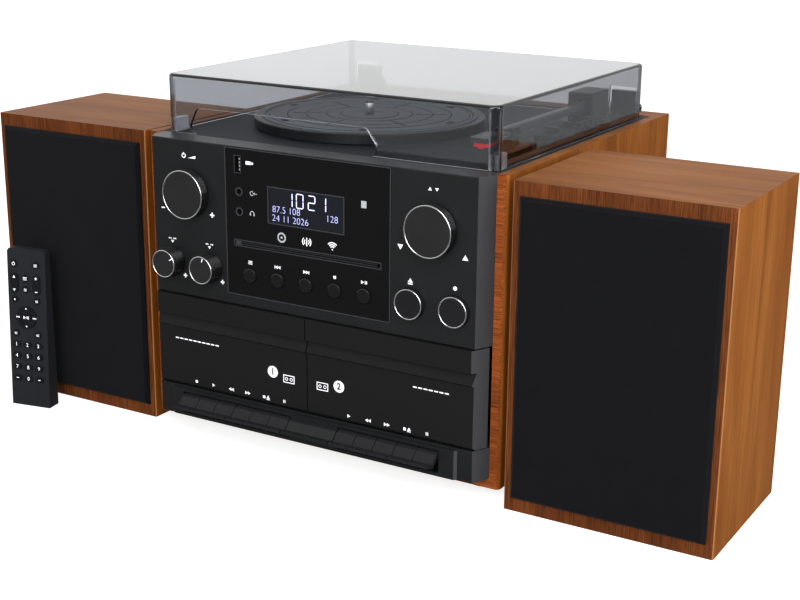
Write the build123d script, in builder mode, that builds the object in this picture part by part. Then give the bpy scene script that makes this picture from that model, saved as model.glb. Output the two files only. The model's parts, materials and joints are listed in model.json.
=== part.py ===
"""Stereo music centre: record deck, CD slot, twin cassette decks, two speakers and a remote.

Millimetres, +Z up, the listener on the -Y side. The origin is under the middle of the whole set,
on the table. Sizes of the main unit are given from its own centre line (x), from the front of its
wooden cabinet (y, positive to the back) and from the table (z).
"""
from build123d import *
from math import atan, cos, radians, sin
import os

os.makedirs("parts", exist_ok=True)

# ---------------------------------------------------------------- cabinet
CABINET_W = 330.0
CABINET_H = 244.0
CABINET_D = 320.0
BOARD = 8.5                 # foiled board
FOOT_H = 8.0
FOOT_R = 12.0
FOOT_INSET = 26.0
FOOT_BEVEL = 1.5
TOP_STRIP_D = 23.0          # wooden strip behind the record deck
BOARD_NOSE_R = 4.0          # rounded front edge of the side boards
SPARE = 1.0                 # how far a cut runs on past a surface
REAR_PANEL_T = 2.5
REAR_PANEL_INSET = 4.0

# ---------------------------------------------------------------- front moulding
PROUD = 14.5                # how far the front stands out of the cabinet
BEVEL_W = 6.9               # width of the bevel at each end of the front
FRONT_CLEAR = 0.3           # between the moulding and the boards
WALL = 3.0
FACE_T = 4.0                # thicker face of the upper moulding
SPLIT_H = 122.0             # seam between upper front and cassette doors
DOOR_BOTTOM_H = 42.0
FRONT_BOTTOM_H = 15.7
SEAM = 1.0
TOP_LEDGE_D = 7.5           # the moulding reaches this far back over the top
TOP_EDGE_R = 1.0

# ---------------------------------------------------------------- record deck
DECK_DROP = 0.5             # deck surface below the cabinet's top
DECK_T = 4.0
PLATTER_TO_ARM_X, PLATTER_TO_ARM_Y = 156.5, 93.0
PLATTER_R = 98.0
MAT_ABOVE_DECK = 9.0
RIM_BELOW_MAT = 0.4
PLATTER_PLATE_T = 3.0
SKIRT_T = 4.0
SKIRT_GAP = 0.8             # under the rim
BELT_RING_R = 60.0
BELT_RING_T = 4.0
MAT_R = 91.6
MAT_T = 2.0
SPINDLE_R = 3.6
SPINDLE_ABOVE_MAT = 11.0
PLATTER_SHAFT_R = 4.4       # the spindle stands on its end, flush with the mat
SHAFT_CLEAR = 0.06          # radial, on every running shaft
WELL_R = 87.0
WELL_DEPTH = 7.0
PULLEY_R = 5.0
PULLEY_SPAN = 74.0          # platter axis to pulley axis
PULLEY_ANGLE = 135.0
MOTOR_R = 15.0
MOTOR_H = 24.0
BELT_T = 0.8
BELT_W = 4.0
BELT_CLEAR = 0.1

# ---------------------------------------------------------------- tone arm
ARM_INSET, ARM_BACK_INSET = 26.0, 66.0    # pivot from the cover's side and back
STYLUS_INSET = 24.0         # from the cover's front to the stylus, with the arm on its rest
ARM_BASE_R = 21.0
ARM_BASE_H = 5.0
GIMBAL_W, GIMBAL_FRONT, GIMBAL_BACK = 22.0, 16.0, 21.0
GIMBAL_H = 25.0
GIMBAL_SLOT_W = 12.0
ARM_AXIS_H = 18.5           # lift pin above the deck
ARM_W, ARM_T = 8.0, 6.0
ARM_PIN_R = 1.5
HEADSHELL_L, HEADSHELL_W = 34.0, 15.0

# ---------------------------------------------------------------- dust cover
COVER_SIDE_MARGIN = 4.5     # from the inside of the boards
COVER_FRONT_GAP, COVER_BACK_MARGIN = 0.5, 32.0
COVER_H = 47.5
COVER_T = 2.5
COVER_CORNER_R = 8.0
COVER_EDGE_R = 2.4
COVER_LIFT = 0.3            # above the deck
NOTCH_LEFT_INSET, NOTCH_RIGHT_INSET, NOTCH_H = 21.0, 96.0, 21.5
NOTCH_SLANT = 10.0
NOTCH_R = 6.0
HINGE_INSET = 20.0
HINGE_W = 24.0
HINGE_AXIS_BACK, HINGE_AXIS_H = 4.6, 6.5  # behind the cover, and above the deck
HINGE_T = 6.4
HINGE_H = 22.0
HINGE_PIN_R = 2.0
HINGE_EAR_T = 3.4
HINGE_EAR_R = 4.6

# ---------------------------------------------------------------- display panel
PANEL_HALF_W = 76.5
PANEL_BOTTOM_H, PANEL_TOP_H = 130.5, 250.5
PANEL_T = 2.0
LCD_W, LCD_HEIGHT, LCD_H = 69.4, 28.0, 208.5
LCD_T = 1.6
CD_SLOT_W, CD_SLOT_OPENING, CD_SLOT_H = 134.0, 2.6, 174.0
CD_DRIVE_W, CD_DRIVE_D, CD_DRIVE_T = 150.0, 168.0, 34.0
USB_X, USB_H = -64.0, 237.5
USB_W, USB_L, USB_D = 6.8, 14.4, 18.0
SOCKET_DROP = 0.2           # sockets sit this far behind the panel
JACK_X, JACK_HEIGHTS = -63.0, (215.6, 199.4)
JACK_BORE_R, JACK_R, JACK_D, JACK_END_T = 1.8, 3.4, 15.0, 1.0

# ---------------------------------------------------------------- knobs and buttons
BIG_KNOB_H, BIG_KNOB_R, BIG_KNOB_L = 208.5, 20.0, 9.5
SMALL_KNOB_PITCH = 38.0     # the pair under each big knob
TONE_KNOB_H, TONE_KNOB_R, TONE_KNOB_L = 149.5, 12.5, 13.0
KNOB_GAP = 0.5              # behind a turning knob
PUSH_TRAVEL = 1.2
SPINDLE_SHAFT_R = 3.0
BOSS_R, BOSS_L = 6.0, 9.0
ROUND_BUTTON_H, ROUND_BUTTON_R, ROUND_BUTTON_PROUD = 149.0, 12.0, 4.0
ROUND_BUTTON_CLEAR = 0.4
PANEL_BUTTONS = ("info_button", "previous_button", "next_button", "stop_button", "play_button")
PANEL_BUTTON_PITCH, PANEL_BUTTON_H = 26.7, 148.5
PANEL_BUTTON_R, PANEL_BUTTON_PROUD, PANEL_BUTTON_CLEAR = 6.0, 2.0, 0.3

# ---------------------------------------------------------------- cassette decks
DOOR_PIVOT_R = 3.2          # the door's lower edge is round about its hinge line
DOOR_PIN_R = 1.0
DOOR_T = 3.0
BAND_H = 17.5               # upper band of the door, below the seam
BAND_PROUD = 2.6
GROOVE_DEPTH = 2.2          # finger groove under the band
GROOVE_H = 11.5
GROOVE_LIP = 1.6
CASSETTE_W, CASSETTE_T = 102.0, 12.5
CARRIER_WALL = 2.0
CARRIER_CLEAR = 1.0
CARRIER_TOP_DROP = 12.0     # the carrier stops below the door's top
MECH_Y = 26.0               # front of the tape mechanism's plate
MECH_PLATE_T = 2.0
MECH_W = 112.0
HUB_R, HUB_SPACING, HUB_H = 4.5, 42.5, 84.0
FLYWHEEL_R = 20.0

# ---------------------------------------------------------------- piano keys
KEY_PITCH = 18.1
KEY_GAP = 0.6
KEY_LEFT_INSET, KEY_RIGHT_INSET = 21.5, 24.7    # outer keys from the pad's ends
KEY_PIVOT_Y, KEY_PIVOT_H = 16.0, 31.0
KEY_ROD_R = 1.5
KEY_BOSS_R = 3.2
# side of a key, ahead of the front's face and above the well's floor: a slope down to a dished
# finger lip, then back under it
KEY_OUTLINE = ((-0.5, 16.9), (4.0, 15.2), (10.0, 9.4), (17.5, 10.9), (17.5, 8.4), (9.5, 5.7),
               (3.5, 10.9), (-0.5, 13.4))
LEFT_KEYS = ("record", "play", "rewind", "forward", "stop", "pause")
RIGHT_KEYS = ("play", "rewind", "forward", "stop", "pause")
KEY_WELL_MARGIN = 0.9       # beside the outer keys
KEY_WELL_BOTTOM_H, KEY_WELL_TOP_H = 18.6, 37.0
PAD_INSET, PAD_PROUD = 12.8, 2.0          # raised middle of the lower front
PAD_TOP_H = 39.6

# ---------------------------------------------------------------- speakers
SPEAKER_W, SPEAKER_D, SPEAKER_H = 163.6, 136.2, 252.0
SPEAKER_BOARD = 11.0
LEFT_GAP, RIGHT_GAP = 2.5, 9.8            # between the cabinet and each speaker
LEFT_FRONT_Y, RIGHT_FRONT_Y = -2.1, -10.8
GRILLE_SIDE_MARGIN, GRILLE_END_MARGIN = 6.0, 11.0
GRILLE_PROUD, GRILLE_BEVEL = 4.0, 2.5
GRILLE_SEAT = 3.0                         # the grille frame sits in a rebate
WOOFER_H, WOOFER_R, WOOFER_FLANGE_R = 118.0, 48.0, 56.0
WOOFER_DEPTH = 48.0

# ---------------------------------------------------------------- remote control
REMOTE_W, REMOTE_L = 38.1, 142.0
REMOTE_FOOT_T, REMOTE_TOP_T = 14.0, 7.0
REMOTE_CORNER_R = 4.0
REMOTE_X, REMOTE_Y = -279.1, -39.45       # middle of its lower front edge
REMOTE_YAW = 11.05
REMOTE_KEY_T = 1.2

# ---------------------------------------------------------------- where the set stands
set_left = -(CABINET_W / 2 + LEFT_GAP + SPEAKER_W)
set_right = CABINET_W / 2 + RIGHT_GAP + SPEAKER_W
set_front = REMOTE_Y - REMOTE_W / 2 * sin(radians(REMOTE_YAW))
MAIN_X = -(set_left + set_right) / 2
MAIN_Y = -(set_front + CABINET_D) / 2

INNER_HALF_W = CABINET_W / 2 - BOARD
FRONT_HALF_W = INNER_HALF_W - FRONT_CLEAR
FLAT_HALF_W = FRONT_HALF_W - BEVEL_W
PAD_HALF_W = FLAT_HALF_W - PAD_INSET
BIG_KNOB_X = (FLAT_HALF_W + PANEL_HALF_W) / 2
small_knob_inner = BIG_KNOB_X - SMALL_KNOB_PITCH / 2
small_knob_outer = BIG_KNOB_X + SMALL_KNOB_PITCH / 2
TONE_KNOB_XS = {"bass_knob": -small_knob_outer, "treble_knob": -small_knob_inner}
POINTER_TURNS = {"bass_knob": 60.0, "treble_knob": 14.0}    # clockwise from upright
ROUND_BUTTON_XS = {"eject_button": small_knob_inner, "record_button": small_knob_outer}
COVER_HALF_W = INNER_HALF_W - COVER_SIDE_MARGIN
COVER_FRONT = TOP_LEDGE_D + COVER_FRONT_GAP
COVER_BACK = CABINET_D - COVER_BACK_MARGIN
stylus_y = COVER_FRONT + STYLUS_INSET
HINGE_X = COVER_HALF_W - HINGE_INSET
HINGE_AXIS_Y = COVER_BACK + HINGE_AXIS_BACK
ARM_X, ARM_Y = COVER_HALF_W - ARM_INSET, COVER_BACK - ARM_BACK_INSET
PLATTER_X, PLATTER_Y = ARM_X - PLATTER_TO_ARM_X, ARM_Y - PLATTER_TO_ARM_Y
CABINET_TOP = FOOT_H + CABINET_H
FLOOR_H = FOOT_H + BOARD
DECK_H = CABINET_TOP - DECK_DROP
MAT_TOP_H = DECK_H + MAT_ABOVE_DECK
WELL_FLOOR_H = DECK_H - WELL_DEPTH
PULLEY_X = PLATTER_X + PULLEY_SPAN * cos(radians(PULLEY_ANGLE))
PULLEY_Y = PLATTER_Y + PULLEY_SPAN * sin(radians(PULLEY_ANGLE))
REAR_PANEL_Y = CABINET_D - REAR_PANEL_INSET - REAR_PANEL_T


def level(height, x=0.0, y=0.0):
    """Plane parallel to the table at a height, centred on a point of the main unit."""
    return Plane(origin=(MAIN_X + x, MAIN_Y + y, height))


def facing(y, x=0.0, height=0.0):
    """Upright plane at depth y that faces the listener: local x right, local y up."""
    return Plane(origin=(MAIN_X + x, MAIN_Y + y, height), x_dir=(1, 0, 0), z_dir=(0, -1, 0))


def profile(x):
    """Upright plane across the unit at x: local x to the back, local y up, extrudes to +X."""
    return Plane(origin=(MAIN_X + x, MAIN_Y, 0), x_dir=(0, 1, 0), z_dir=(1, 0, 0))


def save(piece, name):
    piece.part.label = name
    export_step(piece.part, f"parts/{name}.step")


def front_outline(back, inset=0.0, proud=PROUD):
    """Plan of the front moulding: a flat face between two bevels that run back into the cabinet."""
    bevel_run = (FRONT_HALF_W - FLAT_HALF_W) / PROUD
    face = FLAT_HALF_W - bevel_run * (proud - PROUD) - inset
    side = FRONT_HALF_W - inset
    return [(-face, -proud), (face, -proud), (side, 0), (side, back), (-side, back), (-side, 0)]


# ================================================================ cabinet
with BuildPart() as wood_cabinet:
    with BuildSketch(level(FOOT_H)):
        with Locations((0, CABINET_D / 2)):
            Rectangle(CABINET_W, CABINET_D)
    extrude(amount=CABINET_H)
    nose_edges = wood_cabinet.edges().filter_by(Axis.Z).group_by(Axis.Y)[0]
    fillet(nose_edges, BOARD_NOSE_R)
    with BuildSketch(level(FLOOR_H)):
        with Locations((0, CABINET_D / 2)):
            Rectangle(2 * INNER_HALF_W, CABINET_D + 2 * SPARE)
    extrude(amount=CABINET_H - 2 * BOARD, mode=Mode.SUBTRACT)
    with BuildSketch(level(CABINET_TOP - BOARD - SPARE)):
        with Locations((0, (CABINET_D - TOP_STRIP_D) / 2)):
            Rectangle(2 * INNER_HALF_W, CABINET_D - TOP_STRIP_D)
    extrude(amount=BOARD + 2 * SPARE, mode=Mode.SUBTRACT)
save(wood_cabinet, "wood_cabinet")

with BuildPart() as feet:
    with BuildSketch(level(0, y=CABINET_D / 2)):
        with GridLocations(CABINET_W - 2 * FOOT_INSET, CABINET_D - 2 * FOOT_INSET, 2, 2):
            Circle(FOOT_R)
    extrude(amount=FOOT_H)
    chamfer(feet.edges().group_by(Axis.Z)[0], FOOT_BEVEL)
save(feet, "feet")

VENT_ROWS, VENT_COLUMNS = 5, 4
VENT_L, VENT_W, VENT_PITCH_X, VENT_PITCH_Z, VENT_H = 22.0, 2.4, 30.0, 7.0, 190.0
MAINS_INSET, MAINS_H, MAINS_W, MAINS_L = 41.0, 48.0, 26.0, 20.0
LINE_INSET, LINE_PITCH, LINE_HEIGHTS, LINE_R = 44.0, 16.0, (44.0, 62.0), 4.6
AERIAL_INSET, AERIAL_H, AERIAL_R = 36.0, 206.0, 4.8
MAINS_X = -FRONT_HALF_W + MAINS_INSET
AERIAL_X = FRONT_HALF_W - AERIAL_INSET
LINE_XS = (FRONT_HALF_W - LINE_INSET - LINE_PITCH, FRONT_HALF_W - LINE_INSET)
TERMINAL_XS, TERMINAL_H, TERMINAL_W, TERMINAL_L = (-20.0, 40.0), 52.0, 50.0, 32.0
SOCKET_CLEAR = 0.3
PANEL_SCREW_R, PANEL_SCREW_MARGIN = 1.6, 6.0

with BuildPart() as rear_panel:
    panel_height = CABINET_H - 2 * BOARD - 2 * FRONT_CLEAR
    panel_middle = FLOOR_H + FRONT_CLEAR + panel_height / 2
    with BuildSketch(facing(REAR_PANEL_Y + REAR_PANEL_T)):
        with Locations((0, panel_middle)):
            Rectangle(2 * FRONT_HALF_W, panel_height)
            with GridLocations(2 * (FRONT_HALF_W - PANEL_SCREW_MARGIN),
                               panel_height - 2 * PANEL_SCREW_MARGIN, 2, 2):
                Circle(PANEL_SCREW_R, mode=Mode.SUBTRACT)
        with Locations((0, VENT_H)):
            with GridLocations(VENT_PITCH_X, VENT_PITCH_Z, VENT_COLUMNS, VENT_ROWS):
                Rectangle(VENT_L, VENT_W, mode=Mode.SUBTRACT)
        with Locations((MAINS_X, MAINS_H)):
            Rectangle(MAINS_W + 2 * SOCKET_CLEAR, MAINS_L + 2 * SOCKET_CLEAR, mode=Mode.SUBTRACT)
        with Locations(*[(x, z) for x in LINE_XS for z in LINE_HEIGHTS]):
            Circle(LINE_R + SOCKET_CLEAR, mode=Mode.SUBTRACT)
        with Locations((AERIAL_X, AERIAL_H)):
            Circle(AERIAL_R + SOCKET_CLEAR, mode=Mode.SUBTRACT)
        with Locations(*[(x, TERMINAL_H) for x in TERMINAL_XS]):
            Rectangle(TERMINAL_W + 2 * SOCKET_CLEAR, TERMINAL_L + 2 * SOCKET_CLEAR,
                      mode=Mode.SUBTRACT)
    extrude(amount=REAR_PANEL_T)
save(rear_panel, "rear_panel")

SOCKET_INSET, SOCKET_BODY = 1.0, 8.0      # inside the cabinet's back, and ahead of the rear panel
SOCKET_BACK_Y = CABINET_D - SOCKET_INSET
SOCKET_FRONT_Y = REAR_PANEL_Y - SOCKET_BODY
socket_depth = SOCKET_BACK_Y - SOCKET_FRONT_Y
INLET_W, INLET_L, INLET_DEPTH = 17.0, 8.6, 9.0
INLET_PIN_R, INLET_PIN_SPACING = 1.2, 8.0
LINE_BORE_R, LINE_BORE_DEPTH = 3.2, 8.0
CLIP_COUNT, CLIP_W, CLIP_L, CLIP_T = 2, 16.0, 12.0, 2.0
SPEAKER_TERMINAL_H = 60.0

with BuildPart() as rear_sockets:
    with BuildSketch(facing(SOCKET_BACK_Y)):
        with Locations((MAINS_X, MAINS_H)):
            Rectangle(MAINS_W, MAINS_L)
        with Locations(*[(x, z) for x in LINE_XS for z in LINE_HEIGHTS]):
            Circle(LINE_R)
        with Locations((AERIAL_X, AERIAL_H)):
            Circle(AERIAL_R)
    extrude(amount=socket_depth)
    with BuildSketch(facing(SOCKET_BACK_Y)):
        with Locations((MAINS_X, MAINS_H)):
            SlotOverall(INLET_W, INLET_L)
            with GridLocations(INLET_PIN_SPACING, 1, 2, 1):
                Circle(INLET_PIN_R, mode=Mode.SUBTRACT)
    extrude(amount=INLET_DEPTH, mode=Mode.SUBTRACT)
    with BuildSketch(facing(SOCKET_BACK_Y)):
        with Locations(*[(x, z) for x in LINE_XS for z in LINE_HEIGHTS], (AERIAL_X, AERIAL_H)):
            Circle(LINE_BORE_R)
    extrude(amount=LINE_BORE_DEPTH, mode=Mode.SUBTRACT)
    with BuildSketch(facing(SOCKET_BACK_Y - CLIP_T)):
        with Locations(*[(x, TERMINAL_H) for x in TERMINAL_XS]):
            Rectangle(TERMINAL_W, TERMINAL_L)
    extrude(amount=socket_depth - CLIP_T)
    for x in TERMINAL_XS:
        with BuildSketch(facing(SOCKET_BACK_Y, x, TERMINAL_H + TERMINAL_L / 4)):
            with GridLocations(TERMINAL_W / CLIP_COUNT, 1, CLIP_COUNT, 1):
                Rectangle(CLIP_W, CLIP_L)
        extrude(amount=CLIP_T)
    for x, front_y in ((set_left + SPEAKER_W / 2, LEFT_FRONT_Y),
                       (set_right - SPEAKER_W / 2, RIGHT_FRONT_Y)):
        back_y = front_y + SPEAKER_D
        with BuildSketch(facing(back_y + CLIP_T)):
            with Locations((x, SPEAKER_TERMINAL_H)):
                Rectangle(TERMINAL_W, TERMINAL_L)
        extrude(amount=CLIP_T)
        with BuildSketch(facing(back_y + 2 * CLIP_T, x, SPEAKER_TERMINAL_H + TERMINAL_L / 4)):
            with GridLocations(TERMINAL_W / CLIP_COUNT, 1, CLIP_COUNT, 1):
                Rectangle(CLIP_W, CLIP_L)
        extrude(amount=CLIP_T)
save(rear_sockets, "rear_sockets")

# ================================================================ front mouldings
face_back_y = -PROUD + FACE_T
panel_seat_y = -PROUD + PANEL_T
panel_middle_h = (PANEL_TOP_H + PANEL_BOTTOM_H) / 2
PANEL_GAP = 0.3
LCD_LEDGE = 2.0             # the window rests on this much of the seat
big_knob_spots = [(-BIG_KNOB_X, BIG_KNOB_H), (BIG_KNOB_X, BIG_KNOB_H)]
tone_knob_spots = [(x, TONE_KNOB_H) for x in TONE_KNOB_XS.values()]
round_button_spots = [(x, ROUND_BUTTON_H) for x in ROUND_BUTTON_XS.values()]
panel_button_spots = [((i - (len(PANEL_BUTTONS) - 1) / 2) * PANEL_BUTTON_PITCH, PANEL_BUTTON_H)
                      for i in range(len(PANEL_BUTTONS))]
jack_spots = [(JACK_X, height) for height in JACK_HEIGHTS]
CD_MOUTH_MARGIN = 3.0

with BuildPart() as upper_fascia:
    bottom_h = SPLIT_H + SEAM / 2
    with BuildSketch(level(bottom_h)):
        with BuildLine():
            Polyline(*front_outline(TOP_LEDGE_D), close=True)
        make_face()
    extrude(amount=DECK_H - bottom_h)
    fillet(upper_fascia.edges().filter_by(Axis.X).group_by(Axis.Z)[-1].sort_by(Axis.Y)[0], TOP_EDGE_R)
    with BuildSketch(level(bottom_h + WALL)):
        with BuildLine():
            Polyline(*front_outline(TOP_LEDGE_D + SPARE, WALL, PROUD - FACE_T), close=True)
        make_face()
    extrude(amount=DECK_H - bottom_h - 2 * WALL, mode=Mode.SUBTRACT)
    # seat of the display panel
    with BuildSketch(facing(panel_seat_y)):
        with Locations((0, panel_middle_h)):
            Rectangle(2 * (PANEL_HALF_W + PANEL_GAP), PANEL_TOP_H - PANEL_BOTTOM_H + 2 * PANEL_GAP)
    extrude(amount=PANEL_T + SPARE, mode=Mode.SUBTRACT)
    # bosses that carry the knob spindles
    with BuildSketch(facing(face_back_y + BOSS_L)):
        with Locations(*big_knob_spots, *tone_knob_spots):
            Circle(BOSS_R)
    extrude(amount=BOSS_L)
    with BuildSketch(facing(face_back_y + BOSS_L)):
        with Locations(*big_knob_spots, *tone_knob_spots):
            Circle(SPINDLE_SHAFT_R + SHAFT_CLEAR)
        with Locations(*round_button_spots):
            Circle(ROUND_BUTTON_R + ROUND_BUTTON_CLEAR)
        with Locations(*panel_button_spots):
            Circle(PANEL_BUTTON_R + PANEL_BUTTON_CLEAR)
        with Locations(*jack_spots):
            Circle(JACK_R + SOCKET_CLEAR)
        with Locations((USB_X, USB_H)):
            Rectangle(USB_W + 2 * SOCKET_CLEAR, USB_L + 2 * SOCKET_CLEAR)
        with Locations((0, CD_SLOT_H)):
            Rectangle(CD_SLOT_W + 2 * CD_MOUTH_MARGIN, CD_SLOT_OPENING + 2 * CD_MOUTH_MARGIN)
        with Locations((0, LCD_H)):
            Rectangle(LCD_W - 2 * LCD_LEDGE, LCD_HEIGHT - 2 * LCD_LEDGE)
    extrude(amount=PROUD + BOSS_L + SPARE, mode=Mode.SUBTRACT)
save(upper_fascia, "upper_fascia")

with BuildPart() as display_panel:
    with BuildSketch(facing(panel_seat_y)):
        with Locations((0, panel_middle_h)):
            Rectangle(2 * PANEL_HALF_W, PANEL_TOP_H - PANEL_BOTTOM_H)
        with Locations((0, LCD_H)):
            Rectangle(LCD_W + 2 * PANEL_GAP, LCD_HEIGHT + 2 * PANEL_GAP, mode=Mode.SUBTRACT)
        with Locations((0, CD_SLOT_H)):
            SlotOverall(CD_SLOT_W, CD_SLOT_OPENING, mode=Mode.SUBTRACT)
        with Locations((USB_X, USB_H)):
            Rectangle(USB_W + 2 * SOCKET_CLEAR, USB_L + 2 * SOCKET_CLEAR, mode=Mode.SUBTRACT)
        with Locations(*jack_spots):
            Circle(JACK_R + SOCKET_CLEAR, mode=Mode.SUBTRACT)
        with Locations(*panel_button_spots):
            Circle(PANEL_BUTTON_R + PANEL_BUTTON_CLEAR, mode=Mode.SUBTRACT)
    extrude(amount=PANEL_T)
save(display_panel, "display_panel")

with BuildPart() as display_window:
    with BuildSketch(facing(panel_seat_y)):
        with Locations((0, LCD_H)):
            Rectangle(LCD_W, LCD_HEIGHT)
    extrude(amount=LCD_T)
save(display_window, "display_window")

with BuildPart() as front_sockets:
    USB_SHELL_T, USB_TONGUE_T, USB_TONGUE_L, USB_TONGUE_D = 0.6, 1.8, 11.0, 9.0
    socket_front_y = -PROUD + SOCKET_DROP
    with BuildSketch(facing(socket_front_y + USB_D)):
        with Locations((USB_X, USB_H)):
            Rectangle(USB_W, USB_L)
    extrude(amount=USB_D)
    with BuildSketch(facing(socket_front_y + USB_D - USB_SHELL_T)):
        with Locations((USB_X, USB_H)):
            Rectangle(USB_W - 2 * USB_SHELL_T, USB_L - 2 * USB_SHELL_T)
    extrude(amount=USB_D, mode=Mode.SUBTRACT)
    with BuildSketch(facing(socket_front_y + USB_D - USB_SHELL_T)):
        with Locations((USB_X, USB_H)):
            Rectangle(USB_TONGUE_T, USB_TONGUE_L)
    extrude(amount=USB_TONGUE_D)
    with BuildSketch(facing(socket_front_y + JACK_D)):
        with Locations(*jack_spots):
            Circle(JACK_R)
    extrude(amount=JACK_D)
    with BuildSketch(facing(socket_front_y + JACK_D - JACK_END_T)):
        with Locations(*jack_spots):
            Circle(JACK_BORE_R)
    extrude(amount=JACK_D, mode=Mode.SUBTRACT)
save(front_sockets, "front_sockets")

CASE_T = 1.2
with BuildPart() as cd_drive:
    with BuildSketch(level(CD_SLOT_H - CD_DRIVE_T / 2)):
        with Locations((0, face_back_y + CD_DRIVE_D / 2)):
            Rectangle(CD_DRIVE_W, CD_DRIVE_D)
    extrude(amount=CD_DRIVE_T)
    with BuildSketch(level(CD_SLOT_H - CD_DRIVE_T / 2 + CASE_T)):
        with Locations((0, face_back_y + CD_DRIVE_D / 2)):
            Rectangle(CD_DRIVE_W - 2 * CASE_T, CD_DRIVE_D - 2 * CASE_T)
    extrude(amount=CD_DRIVE_T - 2 * CASE_T, mode=Mode.SUBTRACT)
    with BuildSketch(facing(face_back_y + 2 * CASE_T, 0, CD_SLOT_H)):
        Rectangle(CD_SLOT_W, 2 * CD_SLOT_OPENING)
    extrude(amount=4 * CASE_T, mode=Mode.SUBTRACT)
save(cd_drive, "cd_drive")

MAIN_BOARD_X, MAIN_BOARD_FROM_BACK = 40.0, 115.0
main_board_middle = (MAIN_BOARD_X, CABINET_D - MAIN_BOARD_FROM_BACK)
MAIN_BOARD_W, MAIN_BOARD_D, MAIN_BOARD_T, MAIN_BOARD_H = 200.0, 170.0, 1.6, 30.0
STANDOFF_R = 4.0
STANDOFF_MARGIN = 10.0
HEAT_SINK_W, HEAT_SINK_D, HEAT_SINK_H = 70.0, 20.0, 55.0
CAPACITOR_R, CAPACITOR_H = 11.0, 35.0

with BuildPart() as main_board:
    with BuildSketch(level(MAIN_BOARD_H, *main_board_middle)):
        Rectangle(MAIN_BOARD_W, MAIN_BOARD_D)
    extrude(amount=MAIN_BOARD_T)
    with BuildSketch(level(FLOOR_H, *main_board_middle)):
        with GridLocations(MAIN_BOARD_W - 2 * STANDOFF_MARGIN, MAIN_BOARD_D - 2 * STANDOFF_MARGIN, 2, 2):
            Circle(STANDOFF_R)
    extrude(amount=MAIN_BOARD_H - FLOOR_H)
    with BuildSketch(level(MAIN_BOARD_H + MAIN_BOARD_T, *main_board_middle)):
        with Locations((HEAT_SINK_W / 2, MAIN_BOARD_D / 4)):
            Rectangle(HEAT_SINK_W, HEAT_SINK_D)
    extrude(amount=HEAT_SINK_H)
    with BuildSketch(level(MAIN_BOARD_H + MAIN_BOARD_T, *main_board_middle)):
        with Locations((-HEAT_SINK_W / 2, 0)):
            with GridLocations(1, 3 * CAPACITOR_R, 1, 2):
                Circle(CAPACITOR_R)
    extrude(amount=CAPACITOR_H)
save(main_board, "main_board")

TRANSFORMER_INSET, TRANSFORMER_FROM_BACK = 48.2, 95.0
TRANSFORMER_X = -FRONT_HALF_W + TRANSFORMER_INSET
TRANSFORMER_Y = CABINET_D - TRANSFORMER_FROM_BACK
CORE_W, CORE_D, CORE_H = 66.0, 34.0, 56.0
COIL_W, COIL_D, COIL_H = 40.0, 56.0, 38.0

with BuildPart() as power_transformer:
    with BuildSketch(level(FLOOR_H, TRANSFORMER_X, TRANSFORMER_Y)):
        Rectangle(CORE_W, CORE_D)
    extrude(amount=CORE_H)
    with BuildSketch(level(FLOOR_H + (CORE_H - COIL_H) / 2, TRANSFORMER_X, TRANSFORMER_Y)):
        Rectangle(COIL_W, COIL_D)
    extrude(amount=COIL_H)
save(power_transformer, "power_transformer")

# ================================================================ record deck
COVER_ARM_CLEAR = 1.0
well_rim_r = WELL_R + DECK_T
deck_back = CABINET_D - TOP_STRIP_D - FRONT_CLEAR
deck_front = TOP_LEDGE_D + FRONT_CLEAR
BEARING_R, BEARING_L = 8.0, 22.5
BEARING_END_H = DECK_H - BEARING_L
THRUST_T = 0.4              # washer's height between shaft end and bearing floor
SELECTOR_W, SELECTOR_L, SELECTOR_H = 18.0, 40.0, 8.0
SELECTOR_SLOT_W, SELECTOR_SLOT_L, SELECTOR_SLOT_DEPTH = 5.0, 22.0, 5.0
REST_BESIDE_ARM, REST_BEHIND_STYLUS = 5.0, 42.0
REST_X, REST_Y = ARM_X + REST_BESIDE_ARM, stylus_y + REST_BEHIND_STYLUS
LEVER_BESIDE_ARM, LEVER_AHEAD, LEVER_ABOVE_DECK = 17.0, 29.0, 10.5
LEVER_X, LEVER_Y = ARM_X + LEVER_BESIDE_ARM, ARM_Y - LEVER_AHEAD
SELECTOR_BESIDE_ARM, SELECTOR_BEHIND_MIDDLE = 9.0, 4.5    # between the arm's rest and the lever
SELECTOR_X = ARM_X + SELECTOR_BESIDE_ARM
SELECTOR_Y = (REST_Y + LEVER_Y) / 2 + SELECTOR_BEHIND_MIDDLE
HOUSING_CORNER_R = 3.0
REST_W, REST_L, REST_H = 14.0, 40.0, 7.0
POST_L, POST_TOP = 10.0, 14.6             # post under the arm's clip
CLIP_WALL = 2.0
hinge_spots = [(-HINGE_X, HINGE_AXIS_Y), (HINGE_X, HINGE_AXIS_Y)]
HINGE_PLUG_W, HINGE_PLUG_L, HINGE_PLUG_CLEAR = 18.0, 4.0, 0.1
MOTOR_SCREW_R, MOTOR_SCREW_SPACING = 1.6, 40.0
MOTOR_HOLE_R = PULLEY_R + 3.0
arm_clip_gap = ARM_W + 2 * COVER_ARM_CLEAR

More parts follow.
